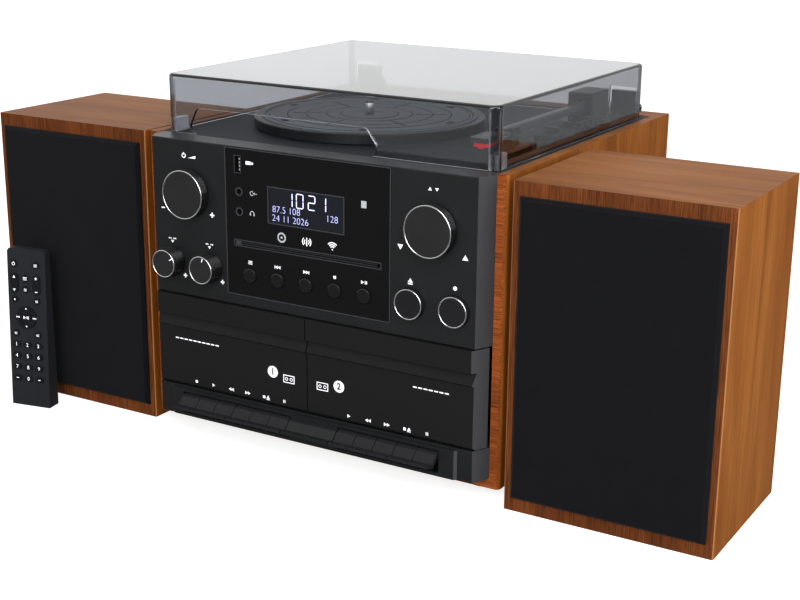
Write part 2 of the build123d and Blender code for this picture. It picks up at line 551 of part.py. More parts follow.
with BuildPart() as deck_plate:
    with BuildSketch(level(DECK_H - DECK_T)):
        with Locations((0, (deck_front + deck_back) / 2)):
            Rectangle(2 * FRONT_HALF_W, deck_back - deck_front)
    extrude(amount=DECK_T)
    with BuildSketch(level(WELL_FLOOR_H - WALL, PLATTER_X, PLATTER_Y)):
        Circle(well_rim_r)
    extrude(amount=WELL_DEPTH)
    with BuildSketch(level(BEARING_END_H, PLATTER_X, PLATTER_Y)):
        Circle(BEARING_R)
    extrude(amount=WELL_FLOOR_H - BEARING_END_H)
    with BuildSketch(level(WELL_FLOOR_H, PLATTER_X, PLATTER_Y)):
        Circle(WELL_R)
    extrude(amount=WELL_DEPTH + SPARE, mode=Mode.SUBTRACT)
    with BuildSketch(level(BEARING_END_H + WALL, PLATTER_X, PLATTER_Y)):
        Circle(PLATTER_SHAFT_R + SHAFT_CLEAR)
    extrude(amount=DECK_H - BEARING_END_H, mode=Mode.SUBTRACT)
    # hole for the motor's shaft and pulley
    with BuildSketch(level(BEARING_END_H, PULLEY_X, PULLEY_Y)):
        Circle(MOTOR_HOLE_R)
        with GridLocations(MOTOR_SCREW_SPACING, 1, 2, 1):
            Circle(MOTOR_SCREW_R)
    extrude(amount=DECK_H - BEARING_END_H, mode=Mode.SUBTRACT)
    # speed selector housing
    with BuildSketch(level(DECK_H)):
        with Locations((SELECTOR_X, SELECTOR_Y)):
            RectangleRounded(SELECTOR_W, SELECTOR_L, HOUSING_CORNER_R)
    extrude(amount=SELECTOR_H)
    with BuildSketch(level(DECK_H + SELECTOR_H - SELECTOR_SLOT_DEPTH)):
        with Locations((SELECTOR_X, SELECTOR_Y)):
            Rectangle(SELECTOR_SLOT_W, SELECTOR_SLOT_L)
    extrude(amount=SELECTOR_SLOT_DEPTH + SPARE, mode=Mode.SUBTRACT)
    # slots for the plugs of the cover's hinges
    with BuildSketch(level(DECK_H - DECK_T)):
        with Locations(*hinge_spots):
            Rectangle(HINGE_PLUG_W, HINGE_PLUG_L)
    extrude(amount=DECK_T, mode=Mode.SUBTRACT)
save(deck_plate, "deck_plate")

PULLEY_LIFT, PULLEY_PROUD = 1.5, 0.5      # above the well's floor, and above the deck
PULLEY_BOTTOM_H = WELL_FLOOR_H + PULLEY_LIFT
PULLEY_TOP_H = DECK_H + PULLEY_PROUD
PULLEY_FLANGE_R, PULLEY_FLANGE_T = 6.2, 0.8
BELT_LIFT = 0.2
BELT_BOTTOM_H = PULLEY_BOTTOM_H + PULLEY_FLANGE_T + BELT_LIFT
MOTOR_SHAFT_R, MOTOR_SHAFT_L = 1.5, 12.0
motor_top_h = WELL_FLOOR_H - WALL
rim_top_h = MAT_TOP_H - RIM_BELOW_MAT
mat_bottom_h = MAT_TOP_H - MAT_T
plate_bottom_h = mat_bottom_h - PLATTER_PLATE_T
shaft_bottom_h = BEARING_END_H + WALL + THRUST_T
MAT_GAP = 0.6
RIM_BEVEL = 0.8
SPINDLE_TIP_R = 1.2

with BuildPart() as turntable_motor:
    with BuildSketch(level(motor_top_h - MOTOR_H, PULLEY_X, PULLEY_Y)):
        Circle(MOTOR_R)
    extrude(amount=MOTOR_H)
    with BuildSketch(level(motor_top_h - MOTOR_SHAFT_L - THRUST_T, PULLEY_X, PULLEY_Y)):
        Circle(MOTOR_SHAFT_R + SHAFT_CLEAR)
    extrude(amount=MOTOR_SHAFT_L + SPARE, mode=Mode.SUBTRACT)
save(turntable_motor, "turntable_motor")

with BuildPart() as motor_pulley:
    with BuildSketch(level(motor_top_h - MOTOR_SHAFT_L, PULLEY_X, PULLEY_Y)):
        Circle(MOTOR_SHAFT_R)
    extrude(amount=MOTOR_SHAFT_L + PULLEY_BOTTOM_H - motor_top_h)
    with BuildSketch(level(PULLEY_BOTTOM_H, PULLEY_X, PULLEY_Y)):
        Circle(PULLEY_R)
    extrude(amount=PULLEY_TOP_H - PULLEY_BOTTOM_H)
    with BuildSketch(level(PULLEY_BOTTOM_H, PULLEY_X, PULLEY_Y)):
        Circle(PULLEY_FLANGE_R)
    extrude(amount=PULLEY_FLANGE_T)
save(motor_pulley, "motor_pulley")

pulley_offset = (PULLEY_X - PLATTER_X, PULLEY_Y - PLATTER_Y)
with BuildPart() as drive_belt:
    with BuildSketch(level(BELT_BOTTOM_H, PLATTER_X, PLATTER_Y)):
        Circle(BELT_RING_R + BELT_CLEAR + BELT_T)
        with Locations(pulley_offset):
            Circle(PULLEY_R + BELT_CLEAR + BELT_T)
        make_hull()
    extrude(amount=BELT_W)
    with BuildSketch(level(BELT_BOTTOM_H, PLATTER_X, PLATTER_Y)):
        Circle(BELT_RING_R + BELT_CLEAR)
        with Locations(pulley_offset):
            Circle(PULLEY_R + BELT_CLEAR)
        make_hull()
    extrude(amount=BELT_W, mode=Mode.SUBTRACT)
save(drive_belt, "drive_belt")

with BuildPart() as platter:
    with BuildSketch(level(plate_bottom_h, PLATTER_X, PLATTER_Y)):
        Circle(PLATTER_R)
    extrude(amount=rim_top_h - plate_bottom_h)
    chamfer(platter.edges().group_by(Axis.Z)[-1], RIM_BEVEL)
    with BuildSketch(level(mat_bottom_h, PLATTER_X, PLATTER_Y)):
        Circle(MAT_R + MAT_GAP)
    extrude(amount=MAT_T, mode=Mode.SUBTRACT)
    with BuildSketch(level(DECK_H + SKIRT_GAP, PLATTER_X, PLATTER_Y)):
        Circle(PLATTER_R)
        Circle(PLATTER_R - SKIRT_T, mode=Mode.SUBTRACT)
    extrude(amount=plate_bottom_h - DECK_H - SKIRT_GAP)
    with BuildSketch(level(PULLEY_BOTTOM_H, PLATTER_X, PLATTER_Y)):
        Circle(BELT_RING_R)
        Circle(BELT_RING_R - BELT_RING_T, mode=Mode.SUBTRACT)
    extrude(amount=plate_bottom_h - PULLEY_BOTTOM_H)
    with BuildSketch(level(shaft_bottom_h, PLATTER_X, PLATTER_Y)):
        Circle(PLATTER_SHAFT_R)
    extrude(amount=MAT_TOP_H - shaft_bottom_h)
    with BuildSketch(level(MAT_TOP_H, PLATTER_X, PLATTER_Y)):
        Circle(SPINDLE_R)
    extrude(amount=SPINDLE_ABOVE_MAT)
    fillet(platter.edges().group_by(Axis.Z)[-1], SPINDLE_TIP_R)
save(platter, "platter")

with BuildPart() as platter_mat:
    with BuildSketch(level(mat_bottom_h, PLATTER_X, PLATTER_Y)):
        Circle(MAT_R)
        Circle(PLATTER_SHAFT_R + SHAFT_CLEAR, mode=Mode.SUBTRACT)
    extrude(amount=MAT_T)
save(platter_mat, "platter_mat")

# ================================================================ tone arm
base_top_h = DECK_H + ARM_BASE_H
BASE_PIN_R, BASE_PIN_L = 4.0, 4.5
GIMBAL_LIFT = 0.3
gimbal_bottom_h = base_top_h + GIMBAL_LIFT
arm_axis_h = DECK_H + ARM_AXIS_H
GIMBAL_SLOT_FLOOR = 7.0     # below the lift pin
GIMBAL_SLOT_ROOF = 7.5      # above it
GIMBAL_EDGE_R, GIMBAL_BEVEL = 2.0, 1.0
LEVER_AXIS_H = DECK_H + LEVER_ABOVE_DECK
LEVER_W, LEVER_L, LEVER_T = 3.6, 26.0, 3.0
LEVER_BRACKET_W, LEVER_BRACKET_L = 9.6, 11.0
LEVER_GAP = 0.3
LEVER_TAIL = 3.0
LEVER_FOOT_H = 4.0          # web between the bracket and the round base

with BuildPart() as tonearm_base:
    with BuildSketch(level(DECK_H, ARM_X, ARM_Y)):
        Circle(ARM_BASE_R)
    extrude(amount=ARM_BASE_H)
    with BuildSketch(level(base_top_h, ARM_X, ARM_Y)):
        Circle(BASE_PIN_R)
    extrude(amount=BASE_PIN_L)
    # bracket of the cue lever in front of the pivot
    with BuildSketch(level(DECK_H, LEVER_X, LEVER_Y)):
        Rectangle(LEVER_BRACKET_W, LEVER_BRACKET_L)
    extrude(amount=LEVER_AXIS_H - DECK_H + LEVER_TAIL)
    with BuildSketch(level(DECK_H, (LEVER_X + ARM_X) / 2, (LEVER_Y + ARM_Y) / 2)):
        Rectangle(LEVER_BESIDE_ARM, LEVER_AHEAD)
    extrude(amount=LEVER_FOOT_H)
    with BuildSketch(level(LEVER_AXIS_H - LEVER_TAIL - LEVER_GAP, LEVER_X, LEVER_Y)):
        Rectangle(LEVER_W + 2 * LEVER_GAP, LEVER_BRACKET_L + SPARE)
    extrude(amount=3 * LEVER_TAIL, mode=Mode.SUBTRACT)
    with BuildSketch(profile(LEVER_X - LEVER_BRACKET_W / 2)):
        with Locations((LEVER_Y, LEVER_AXIS_H)):
            Circle(ARM_PIN_R)
    extrude(amount=LEVER_BRACKET_W)
    # rest beside the platter: the arm swings out of its clip over a lower inner wall
    with BuildSketch(level(DECK_H)):
        with Locations((REST_X, REST_Y)):
            RectangleRounded(REST_W, REST_L, HOUSING_CORNER_R)
    extrude(amount=REST_H)
    with BuildSketch(level(DECK_H)):
        with Locations((ARM_X, REST_Y)):
            Rectangle(arm_clip_gap + 2 * CLIP_WALL, POST_L)
    extrude(amount=ARM_AXIS_H + ARM_T / 2)
    with BuildSketch(level(DECK_H + POST_TOP)):
        with Locations((ARM_X - CLIP_WALL, REST_Y)):
            Rectangle(arm_clip_gap + 2 * CLIP_WALL, POST_L + 2 * SPARE)
    extrude(amount=ARM_AXIS_H, mode=Mode.SUBTRACT)
save(tonearm_base, "tonearm_base")

with BuildPart() as cue_lever:
    with BuildSketch(profile(LEVER_X - LEVER_W / 2)):
        with Locations((LEVER_Y, LEVER_AXIS_H)):
            Circle(LEVER_TAIL)
        with Locations((LEVER_Y - LEVER_L / 2, LEVER_AXIS_H)):
            Rectangle(LEVER_L, LEVER_T)
        with Locations((LEVER_Y, LEVER_AXIS_H)):
            Circle(ARM_PIN_R + SHAFT_CLEAR, mode=Mode.SUBTRACT)
    extrude(amount=LEVER_W)
save(cue_lever, "cue_lever")

with BuildPart() as arm_gimbal:
    gimbal_middle_y = ARM_Y + (GIMBAL_BACK - GIMBAL_FRONT) / 2
    with BuildSketch(level(gimbal_bottom_h, ARM_X, gimbal_middle_y)):
        RectangleRounded(GIMBAL_W, GIMBAL_FRONT + GIMBAL_BACK, GIMBAL_EDGE_R)
    extrude(amount=GIMBAL_H)
    chamfer(arm_gimbal.edges().group_by(Axis.Z)[-1], GIMBAL_BEVEL)
    with BuildSketch(level(arm_axis_h - GIMBAL_SLOT_FLOOR, ARM_X, gimbal_middle_y)):
        Rectangle(GIMBAL_SLOT_W, GIMBAL_FRONT + GIMBAL_BACK + SPARE)
    extrude(amount=GIMBAL_SLOT_FLOOR + GIMBAL_SLOT_ROOF, mode=Mode.SUBTRACT)
    with BuildSketch(level(gimbal_bottom_h, ARM_X, ARM_Y)):
        Circle(BASE_PIN_R + SHAFT_CLEAR)
    extrude(amount=BASE_PIN_L, mode=Mode.SUBTRACT)
    with BuildSketch(profile(ARM_X - GIMBAL_SLOT_W / 2)):
        with Locations((ARM_Y, arm_axis_h)):
            Circle(ARM_PIN_R)
    extrude(amount=GIMBAL_SLOT_W)
save(arm_gimbal, "arm_gimbal")

ARM_BACK = 14.0             # short end behind the pivot
HEADSHELL_T, HEADSHELL_FRONT = 4.0, 4.0     # thickness, and length ahead of the stylus
HEADSHELL_CORNER_R = 2.0
headshell_bottom_h = arm_axis_h - ARM_T / 2
headshell_back_y = stylus_y - HEADSHELL_FRONT + HEADSHELL_L
ARM_EDGE_R = 1.5

with BuildPart() as tonearm:
    with BuildSketch(facing(ARM_Y + ARM_BACK, ARM_X, arm_axis_h)):
        RectangleRounded(ARM_W, ARM_T, ARM_EDGE_R)
    extrude(amount=ARM_Y + ARM_BACK - headshell_back_y + SPARE)
    with BuildSketch(level(headshell_bottom_h, ARM_X, headshell_back_y - HEADSHELL_L / 2)):
        RectangleRounded(HEADSHELL_W, HEADSHELL_L, HEADSHELL_CORNER_R)
    extrude(amount=HEADSHELL_T)
    with BuildSketch(profile(ARM_X - ARM_W / 2)):
        with Locations((ARM_Y, arm_axis_h)):
            Circle(ARM_PIN_R + SHAFT_CLEAR)
    extrude(amount=ARM_W, mode=Mode.SUBTRACT)
save(tonearm, "tonearm")

CARTRIDGE_W, CARTRIDGE_L, CARTRIDGE_T = 11.0, 22.0, 3.4
STYLUS_W, STYLUS_L, STYLUS_T = 3.0, 3.0, 1.2
with BuildPart() as cartridge:
    with BuildSketch(level(headshell_bottom_h - CARTRIDGE_T, ARM_X, stylus_y + CARTRIDGE_L / 2)):
        Rectangle(CARTRIDGE_W, CARTRIDGE_L)
    extrude(amount=CARTRIDGE_T)
    with BuildSketch(level(headshell_bottom_h - CARTRIDGE_T - STYLUS_T, ARM_X, stylus_y + STYLUS_L / 2)):
        Rectangle(STYLUS_W, STYLUS_L)
    extrude(amount=STYLUS_T)
save(cartridge, "cartridge")

SELECTOR_LIFT = 0.3
SELECTOR_KNOB_W, SELECTOR_KNOB_L, SELECTOR_KNOB_T = 11.0, 8.0, 4.0
with BuildPart() as speed_selector:
    selector_foot_h = DECK_H + SELECTOR_H - SELECTOR_SLOT_DEPTH + SELECTOR_LIFT
    with BuildSketch(level(selector_foot_h, SELECTOR_X, SELECTOR_Y)):
        Rectangle(SELECTOR_SLOT_W - 2 * SELECTOR_LIFT, SELECTOR_KNOB_L)
    extrude(amount=SELECTOR_SLOT_DEPTH)
    with BuildSketch(level(DECK_H + SELECTOR_H + SELECTOR_LIFT, SELECTOR_X, SELECTOR_Y)):
        Rectangle(SELECTOR_KNOB_W, SELECTOR_KNOB_L)
    extrude(amount=SELECTOR_KNOB_T)
save(speed_selector, "speed_selector")

# ================================================================ dust cover
hinge_axis_h = DECK_H + HINGE_AXIS_H
hinge_pin_end = HINGE_W / 2 + 2 * LEVER_GAP + HINGE_EAR_T
with BuildPart() as lid_hinges:
    with BuildSketch(level(DECK_H)):
        with Locations(*hinge_spots):
            Rectangle(HINGE_W, HINGE_T)
    extrude(amount=HINGE_H)
    with BuildSketch(level(DECK_H - DECK_T)):
        with Locations(*hinge_spots):
            Rectangle(HINGE_PLUG_W - 2 * HINGE_PLUG_CLEAR, HINGE_PLUG_L - 2 * HINGE_PLUG_CLEAR)
    extrude(amount=DECK_T)
    for x, y in hinge_spots:
        with BuildSketch(profile(x - hinge_pin_end)):
            with Locations((y, hinge_axis_h)):
                Circle(HINGE_PIN_R)
        extrude(amount=2 * hinge_pin_end)
save(lid_hinges, "lid_hinges")

cover_bottom_h = DECK_H + COVER_LIFT
COVER_NOTCH_CLEAR = 0.5
HINGE_HEADROOM = 4.0
REAR_NOTCH_TOP = HINGE_H + HINGE_HEADROOM
NOTCH_RIGHT_SLANT = 16.0
notch_left = -COVER_HALF_W + NOTCH_LEFT_INSET
notch_right = COVER_HALF_W - NOTCH_RIGHT_INSET
with BuildPart() as dust_cover:
    cover_middle_y = (COVER_FRONT + COVER_BACK) / 2
    with BuildSketch(level(cover_bottom_h, 0, cover_middle_y)):
        RectangleRounded(2 * COVER_HALF_W, COVER_BACK - COVER_FRONT, COVER_CORNER_R)
    extrude(amount=COVER_H)
    fillet(dust_cover.edges().group_by(Axis.Z)[-1], COVER_EDGE_R)
    with BuildSketch(level(cover_bottom_h, 0, cover_middle_y)):
        RectangleRounded(2 * (COVER_HALF_W - COVER_T), COVER_BACK - COVER_FRONT - 2 * COVER_T,
                         COVER_CORNER_R - COVER_T)
    extrude(amount=COVER_H - COVER_T, mode=Mode.SUBTRACT)
    with BuildSketch(facing(COVER_FRONT + COVER_T + SPARE)) as notch:
        with BuildLine():
            Polyline((notch_left, cover_bottom_h), (notch_right, cover_bottom_h),
                     (notch_right - NOTCH_RIGHT_SLANT, cover_bottom_h + NOTCH_H),
                     (notch_left + NOTCH_SLANT, cover_bottom_h + NOTCH_H), close=True)
        make_face()
        fillet(notch.vertices().group_by(Axis.Z)[-1], NOTCH_R)
    extrude(amount=COVER_T + 2 * SPARE, mode=Mode.SUBTRACT)
    with BuildSketch(level(cover_bottom_h)):
        with Locations((-HINGE_X, COVER_BACK), (HINGE_X, COVER_BACK)):
            Rectangle(HINGE_W + 2 * COVER_NOTCH_CLEAR, 2 * (COVER_T + SPARE))
    extrude(amount=REAR_NOTCH_TOP, mode=Mode.SUBTRACT)
    # ears that turn on the hinge pins
    for x in (-HINGE_X, HINGE_X):
        for side in (-1, 1):
            ear_x = x + side * (HINGE_W / 2 + LEVER_GAP + HINGE_EAR_T / 2) - HINGE_EAR_T / 2
            with BuildSketch(profile(ear_x)):
                with Locations((HINGE_AXIS_Y, hinge_axis_h)):
                    Circle(HINGE_EAR_R)
                with Locations(((HINGE_AXIS_Y + COVER_BACK - COVER_T) / 2, hinge_axis_h)):
                    Rectangle(HINGE_AXIS_Y - COVER_BACK + COVER_T, 2 * HINGE_EAR_R)
                with Locations((HINGE_AXIS_Y, hinge_axis_h)):
                    Circle(HINGE_PIN_R + SHAFT_CLEAR, mode=Mode.SUBTRACT)
            extrude(amount=HINGE_EAR_T)
save(dust_cover, "dust_cover")

# ================================================================ knobs and buttons
KNOB_BEVEL = 0.6
KNOB_BORE_DEPTH = 6.0
PRESS_GAP = PUSH_TRAVEL + 0.4     # behind a knob that can also be pressed
COLLAR_R, COLLAR_T, COLLAR_GAP = 5.0, 2.0, 0.3
FLANGE_WIDER, FLANGE_T = 1.4, 1.2
GUIDE_BACK = 3.0                  # shaft end behind its collar
shaft_collar_y = face_back_y + BOSS_L + COLLAR_GAP
POINTER_W, POINTER_DEPTH = 1.2, 0.5

for name, spot in zip(("volume", "scroll"), big_knob_spots):
    with BuildPart() as shaft:
        shaft_end_y = shaft_collar_y + COLLAR_T + GUIDE_BACK
        shaft_front_y = -PROUD - PRESS_GAP - KNOB_BORE_DEPTH + COLLAR_GAP
        with BuildSketch(facing(shaft_end_y, *spot)):
            Circle(SPINDLE_SHAFT_R)
        extrude(amount=shaft_end_y - shaft_front_y)
        with BuildSketch(facing(shaft_collar_y + COLLAR_T, *spot)):
            Circle(COLLAR_R)
        extrude(amount=COLLAR_T)
    save(shaft, f"{name}_shaft")
    with BuildPart() as knob:
        with BuildSketch(facing(-PROUD - PRESS_GAP, *spot)):
            Circle(BIG_KNOB_R)
        extrude(amount=BIG_KNOB_L - PRESS_GAP)
        chamfer(knob.edges().group_by(Axis.Y)[0], KNOB_BEVEL)
        with BuildSketch(facing(-PROUD - PRESS_GAP, *spot)):
            Circle(SPINDLE_SHAFT_R + SHAFT_CLEAR)
        extrude(amount=KNOB_BORE_DEPTH, mode=Mode.SUBTRACT)
    save(knob, f"{name}_knob")

for name, x in TONE_KNOB_XS.items():
    with BuildPart() as knob:
        spot = (x, TONE_KNOB_H)
        knob_back_y = -PROUD - KNOB_GAP
        with BuildSketch(facing(knob_back_y, *spot)):
            Circle(TONE_KNOB_R)
        extrude(amount=TONE_KNOB_L - KNOB_GAP)
        chamfer(knob.edges().group_by(Axis.Y)[0], KNOB_BEVEL)
        with BuildSketch(facing(knob_back_y, *spot)):
            with PolarLocations(TONE_KNOB_R, 1, start_angle=90 - POINTER_TURNS[name]):
                Rectangle(2 * POINTER_DEPTH, POINTER_W)
        extrude(amount=TONE_KNOB_L, mode=Mode.SUBTRACT)
        shaft_end_y = shaft_collar_y + COLLAR_T + GUIDE_BACK
        with BuildSketch(facing(shaft_end_y, *spot)):
            Circle(SPINDLE_SHAFT_R)
        extrude(amount=shaft_end_y - knob_back_y)
        with BuildSketch(facing(shaft_collar_y + COLLAR_T, *spot)):
            Circle(COLLAR_R)
        extrude(amount=COLLAR_T)
    save(knob, name)

push_buttons = [(name, x, ROUND_BUTTON_H, ROUND_BUTTON_R, ROUND_BUTTON_PROUD)
                for name, x in ROUND_BUTTON_XS.items()]
push_buttons += [(name, x, height, PANEL_BUTTON_R, PANEL_BUTTON_PROUD)
                 for name, (x, height) in zip(PANEL_BUTTONS, panel_button_spots)]
for name, x, height, radius, proud in push_buttons:
    with BuildPart() as button:
        flange_y = face_back_y + COLLAR_GAP + FLANGE_T
        with BuildSketch(facing(flange_y, x, height)):
            Circle(radius)
        extrude(amount=flange_y + PROUD + proud)
        chamfer(button.edges().group_by(Axis.Y)[0], KNOB_BEVEL)
        with BuildSketch(facing(flange_y, x, height)):
            Circle(radius + FLANGE_WIDER)
        extrude(amount=FLANGE_T)
    save(button, name)

# ================================================================ cassette decks
door_top_h = SPLIT_H - SEAM / 2
band_bottom_h = door_top_h - BAND_H
lip_bottom_h = band_bottom_h - GROOVE_H
door_pivot_y = -PROUD + DOOR_PIVOT_R
door_pivot_h = DOOR_BOTTOM_H + DOOR_PIVOT_R
door_back_y = -PROUD + GROOVE_DEPTH + DOOR_T
groove_y = -PROUD + GROOVE_DEPTH
DOOR_X = FLAT_HALF_W / 2    # middle of a deck
LIP_STEP = 1.5
DOOR_SIDE_BACK = 2.0        # the door's side stops short of the cabinet's front
EAR_W, EAR_R, EAR_CLEAR, EAR_OFFSET = 3.6, 1.7, 0.4, 66.0
EAR_POST_Y, EAR_POST_T = -4.0, 3.0
EAR_PIN_SPARE = 3.0
EAR_SWEEP = 3.4             # room for the ear's arm while the door swings
pocket_w = CASSETTE_W + 2 * CARRIER_CLEAR
pocket_back_y = door_back_y + CASSETTE_T + CARRIER_CLEAR
CARRIER_BOTTOM_H = 48.5
carrier_top_h = door_top_h - CARRIER_TOP_DROP
CARRIER_WINDOW_W, CARRIER_WINDOW_BOTTOM_H, CARRIER_WINDOW_TOP_H = 72.0, 65.0, 100.0
MID_GAP = 0.5               # from the middle to each door
ear_xs = [DOOR_X - EAR_OFFSET, DOOR_X + EAR_OFFSET]

for number, side in ((1, -1), (2, 1)):
    with BuildPart() as door:
        with BuildSketch(profile(min(side * MID_GAP, side * FRONT_HALF_W))):
            with BuildLine():
                Polyline((-PROUD, door_pivot_h), (-PROUD, lip_bottom_h),
                         (-PROUD - GROOVE_LIP, lip_bottom_h + LIP_STEP),
                         (groove_y, band_bottom_h - SEAM / 2),
                         (-PROUD - BAND_PROUD, band_bottom_h), (-PROUD - BAND_PROUD, door_top_h),
                         (door_back_y, door_top_h), (door_back_y, DOOR_BOTTOM_H),
                         (door_pivot_y, DOOR_BOTTOM_H))
                RadiusArc((door_pivot_y, DOOR_BOTTOM_H), (-PROUD, door_pivot_h), DOOR_PIVOT_R)
            make_face()
        extrude(amount=FRONT_HALF_W - MID_GAP)
        # side of the door, behind the bevel of the front
        with BuildSketch(level(DOOR_BOTTOM_H)):
            with BuildLine():
                Polyline((side * (FLAT_HALF_W - WALL), -PROUD + WALL),
                         (side * FRONT_HALF_W, -PROUD + WALL), (side * FRONT_HALF_W, -DOOR_SIDE_BACK),
                         (side * (FRONT_HALF_W - WALL), -DOOR_SIDE_BACK), close=True)
            make_face()
        extrude(amount=door_top_h - DOOR_BOTTOM_H)
        # cassette carrier
        with BuildSketch(level(CARRIER_BOTTOM_H, side * DOOR_X)):
            with Locations((0, (door_back_y + pocket_back_y + CARRIER_WALL) / 2)):
                Rectangle(pocket_w + 2 * CARRIER_WALL, pocket_back_y + CARRIER_WALL - door_back_y)
        extrude(amount=carrier_top_h - CARRIER_BOTTOM_H)
        with BuildSketch(level(CARRIER_BOTTOM_H + CARRIER_WALL, side * DOOR_X)):
            with Locations((0, (door_back_y + pocket_back_y) / 2)):
                Rectangle(pocket_w, pocket_back_y - door_back_y)
        extrude(amount=door_top_h - CARRIER_BOTTOM_H, mode=Mode.SUBTRACT)
        with BuildSketch(facing(pocket_back_y + CARRIER_WALL + SPARE, side * DOOR_X)):
            with Locations((0, (CARRIER_WINDOW_TOP_H + CARRIER_WINDOW_BOTTOM_H) / 2)):
                Rectangle(CARRIER_WINDOW_W, CARRIER_WINDOW_TOP_H - CARRIER_WINDOW_BOTTOM_H)
        extrude(amount=CARRIER_WALL + 2 * SPARE, mode=Mode.SUBTRACT)
        # plan of the whole front, with its bevelled end
        with BuildSketch(level(DOOR_BOTTOM_H)):
            with BuildLine():
                Polyline(*front_outline(TOP_LEDGE_D, proud=PROUD + BAND_PROUD), close=True)
            make_face()
        extrude(amount=door_top_h - DOOR_BOTTOM_H, mode=Mode.INTERSECT)
        # slots round the hinge ears, and the pin bores
        for ear_x in ear_xs:
            with BuildSketch(profile(side * ear_x - EAR_W / 2 - EAR_CLEAR)):
                with Locations((door_pivot_y, door_pivot_h)):
                    Circle(EAR_R + EAR_CLEAR)
                with Locations((door_pivot_y + DOOR_PIVOT_R, door_pivot_h)):
                    Rectangle(2 * DOOR_PIVOT_R, 2 * EAR_SWEEP)
            extrude(amount=EAR_W + 2 * EAR_CLEAR, mode=Mode.SUBTRACT)
            with BuildSketch(profile(side * ear_x - EAR_W / 2 - EAR_PIN_SPARE - EAR_CLEAR)):
                with Locations((door_pivot_y, door_pivot_h)):
                    Circle(DOOR_PIN_R + SHAFT_CLEAR)
            extrude(amount=EAR_W + 2 * EAR_PIN_SPARE + 2 * EAR_CLEAR, mode=Mode.SUBTRACT)
    save(door, f"cassette_door_{number}")

key_w = KEY_PITCH - KEY_GAP
left_key_xs = [-PAD_HALF_W + KEY_LEFT_INSET + i * KEY_PITCH for i in range(len(LEFT_KEYS))]
right_first_x = PAD_HALF_W - KEY_RIGHT_INSET - (len(RIGHT_KEYS) - 1) * KEY_PITCH
right_key_xs = [right_first_x + i * KEY_PITCH for i in range(len(RIGHT_KEYS))]
banks = [(xs[0] - key_w / 2 - KEY_WELL_MARGIN, xs[-1] + key_w / 2 + KEY_WELL_MARGIN)
         for xs in (left_key_xs, right_key_xs)]
key_front = [(-PROUD - ahead, KEY_WELL_BOTTOM_H + up) for ahead, up in KEY_OUTLINE]
KEY_ARM_T = 3.0
lower_top_h = DOOR_BOTTOM_H - SEAM / 2
ear_foot_h, ear_top_h = lower_top_h - WALL, door_pivot_h + EAR_R
SILL_BACK = -0.3            # the part below the floor's top stays in front of the board

with BuildPart() as lower_fascia:
    with BuildSketch(level(FRONT_BOTTOM_H)):
        with BuildLine():
            Polyline(*front_outline(TOP_LEDGE_D), close=True)
        make_face()
    extrude(amount=lower_top_h - FRONT_BOTTOM_H)
    with BuildSketch(level(FRONT_BOTTOM_H + WALL)):
        with BuildLine():
            Polyline(*front_outline(TOP_LEDGE_D + SPARE, WALL, PROUD - WALL), close=True)
        make_face()
    extrude(amount=lower_top_h - FRONT_BOTTOM_H - 2 * WALL, mode=Mode.SUBTRACT)
    with BuildSketch(level(FRONT_BOTTOM_H)):
        with Locations((0, (TOP_LEDGE_D + SILL_BACK) / 2)):
            Rectangle(2 * FRONT_HALF_W, TOP_LEDGE_D - SILL_BACK)
    extrude(amount=FLOOR_H - FRONT_BOTTOM_H, mode=Mode.SUBTRACT)
    with BuildSketch(level(FRONT_BOTTOM_H)):
        with BuildLine():
            Polyline((-PAD_HALF_W, -PROUD), (-PAD_HALF_W + PAD_PROUD, -PROUD - PAD_PROUD),
                     (PAD_HALF_W - PAD_PROUD, -PROUD - PAD_PROUD), (PAD_HALF_W, -PROUD), close=True)
        make_face()
    extrude(amount=PAD_TOP_H - FRONT_BOTTOM_H)
    for left, right in banks:
        with BuildSketch(facing(0, (left + right) / 2)):
            with Locations((0, (KEY_WELL_BOTTOM_H + KEY_WELL_TOP_H) / 2)):
                Rectangle(right - left, KEY_WELL_TOP_H - KEY_WELL_BOTTOM_H)
        extrude(amount=PROUD + PAD_PROUD + SPARE, mode=Mode.SUBTRACT)
    # blank filler between the two banks of keys
    with BuildSketch(profile(banks[0][1])):
        with BuildLine():
            Polyline(*key_front, close=True)
        make_face()
    extrude(amount=banks[1][0] - banks[0][1])
    # ears that carry the doors' hinge pins
    for side in (-1, 1):
        for ear_x in ear_xs:
            with BuildSketch(profile(side * ear_x - EAR_W / 2)):
                with Locations((door_pivot_y, door_pivot_h)):
                    Circle(EAR_R)
                with Locations(((door_pivot_y + EAR_POST_Y) / 2, door_pivot_h)):
                    Rectangle(EAR_POST_Y - door_pivot_y, 2 * EAR_R)
                with Locations((EAR_POST_Y - EAR_POST_T / 2, (ear_foot_h + ear_top_h) / 2)):
                    Rectangle(EAR_POST_T, ear_top_h - ear_foot_h)
            extrude(amount=EAR_W)
            with BuildSketch(profile(side * ear_x - EAR_W / 2 - EAR_PIN_SPARE)):
                with Locations((door_pivot_y, door_pivot_h)):
                    Circle(DOOR_PIN_R)
            extrude(amount=EAR_W + 2 * EAR_PIN_SPARE)
save(lower_fascia, "lower_fascia")

for bank, names, xs in (("left", LEFT_KEYS, left_key_xs), ("right", RIGHT_KEYS, right_key_xs)):
    for name, x in zip(names, xs):
        with BuildPart() as key:
            with BuildSketch(profile(x - key_w / 2)):
                with BuildLine():
                    Polyline(*key_front, (KEY_PIVOT_Y, KEY_PIVOT_H - KEY_ARM_T / 2),
                             (KEY_PIVOT_Y, KEY_PIVOT_H + KEY_ARM_T / 2), close=True)
                make_face()
                with Locations((KEY_PIVOT_Y, KEY_PIVOT_H)):
                    Circle(KEY_BOSS_R)
                    Circle(KEY_ROD_R + SHAFT_CLEAR, mode=Mode.SUBTRACT)
            extrude(amount=key_w)
        save(key, f"{bank}_{name}_key")

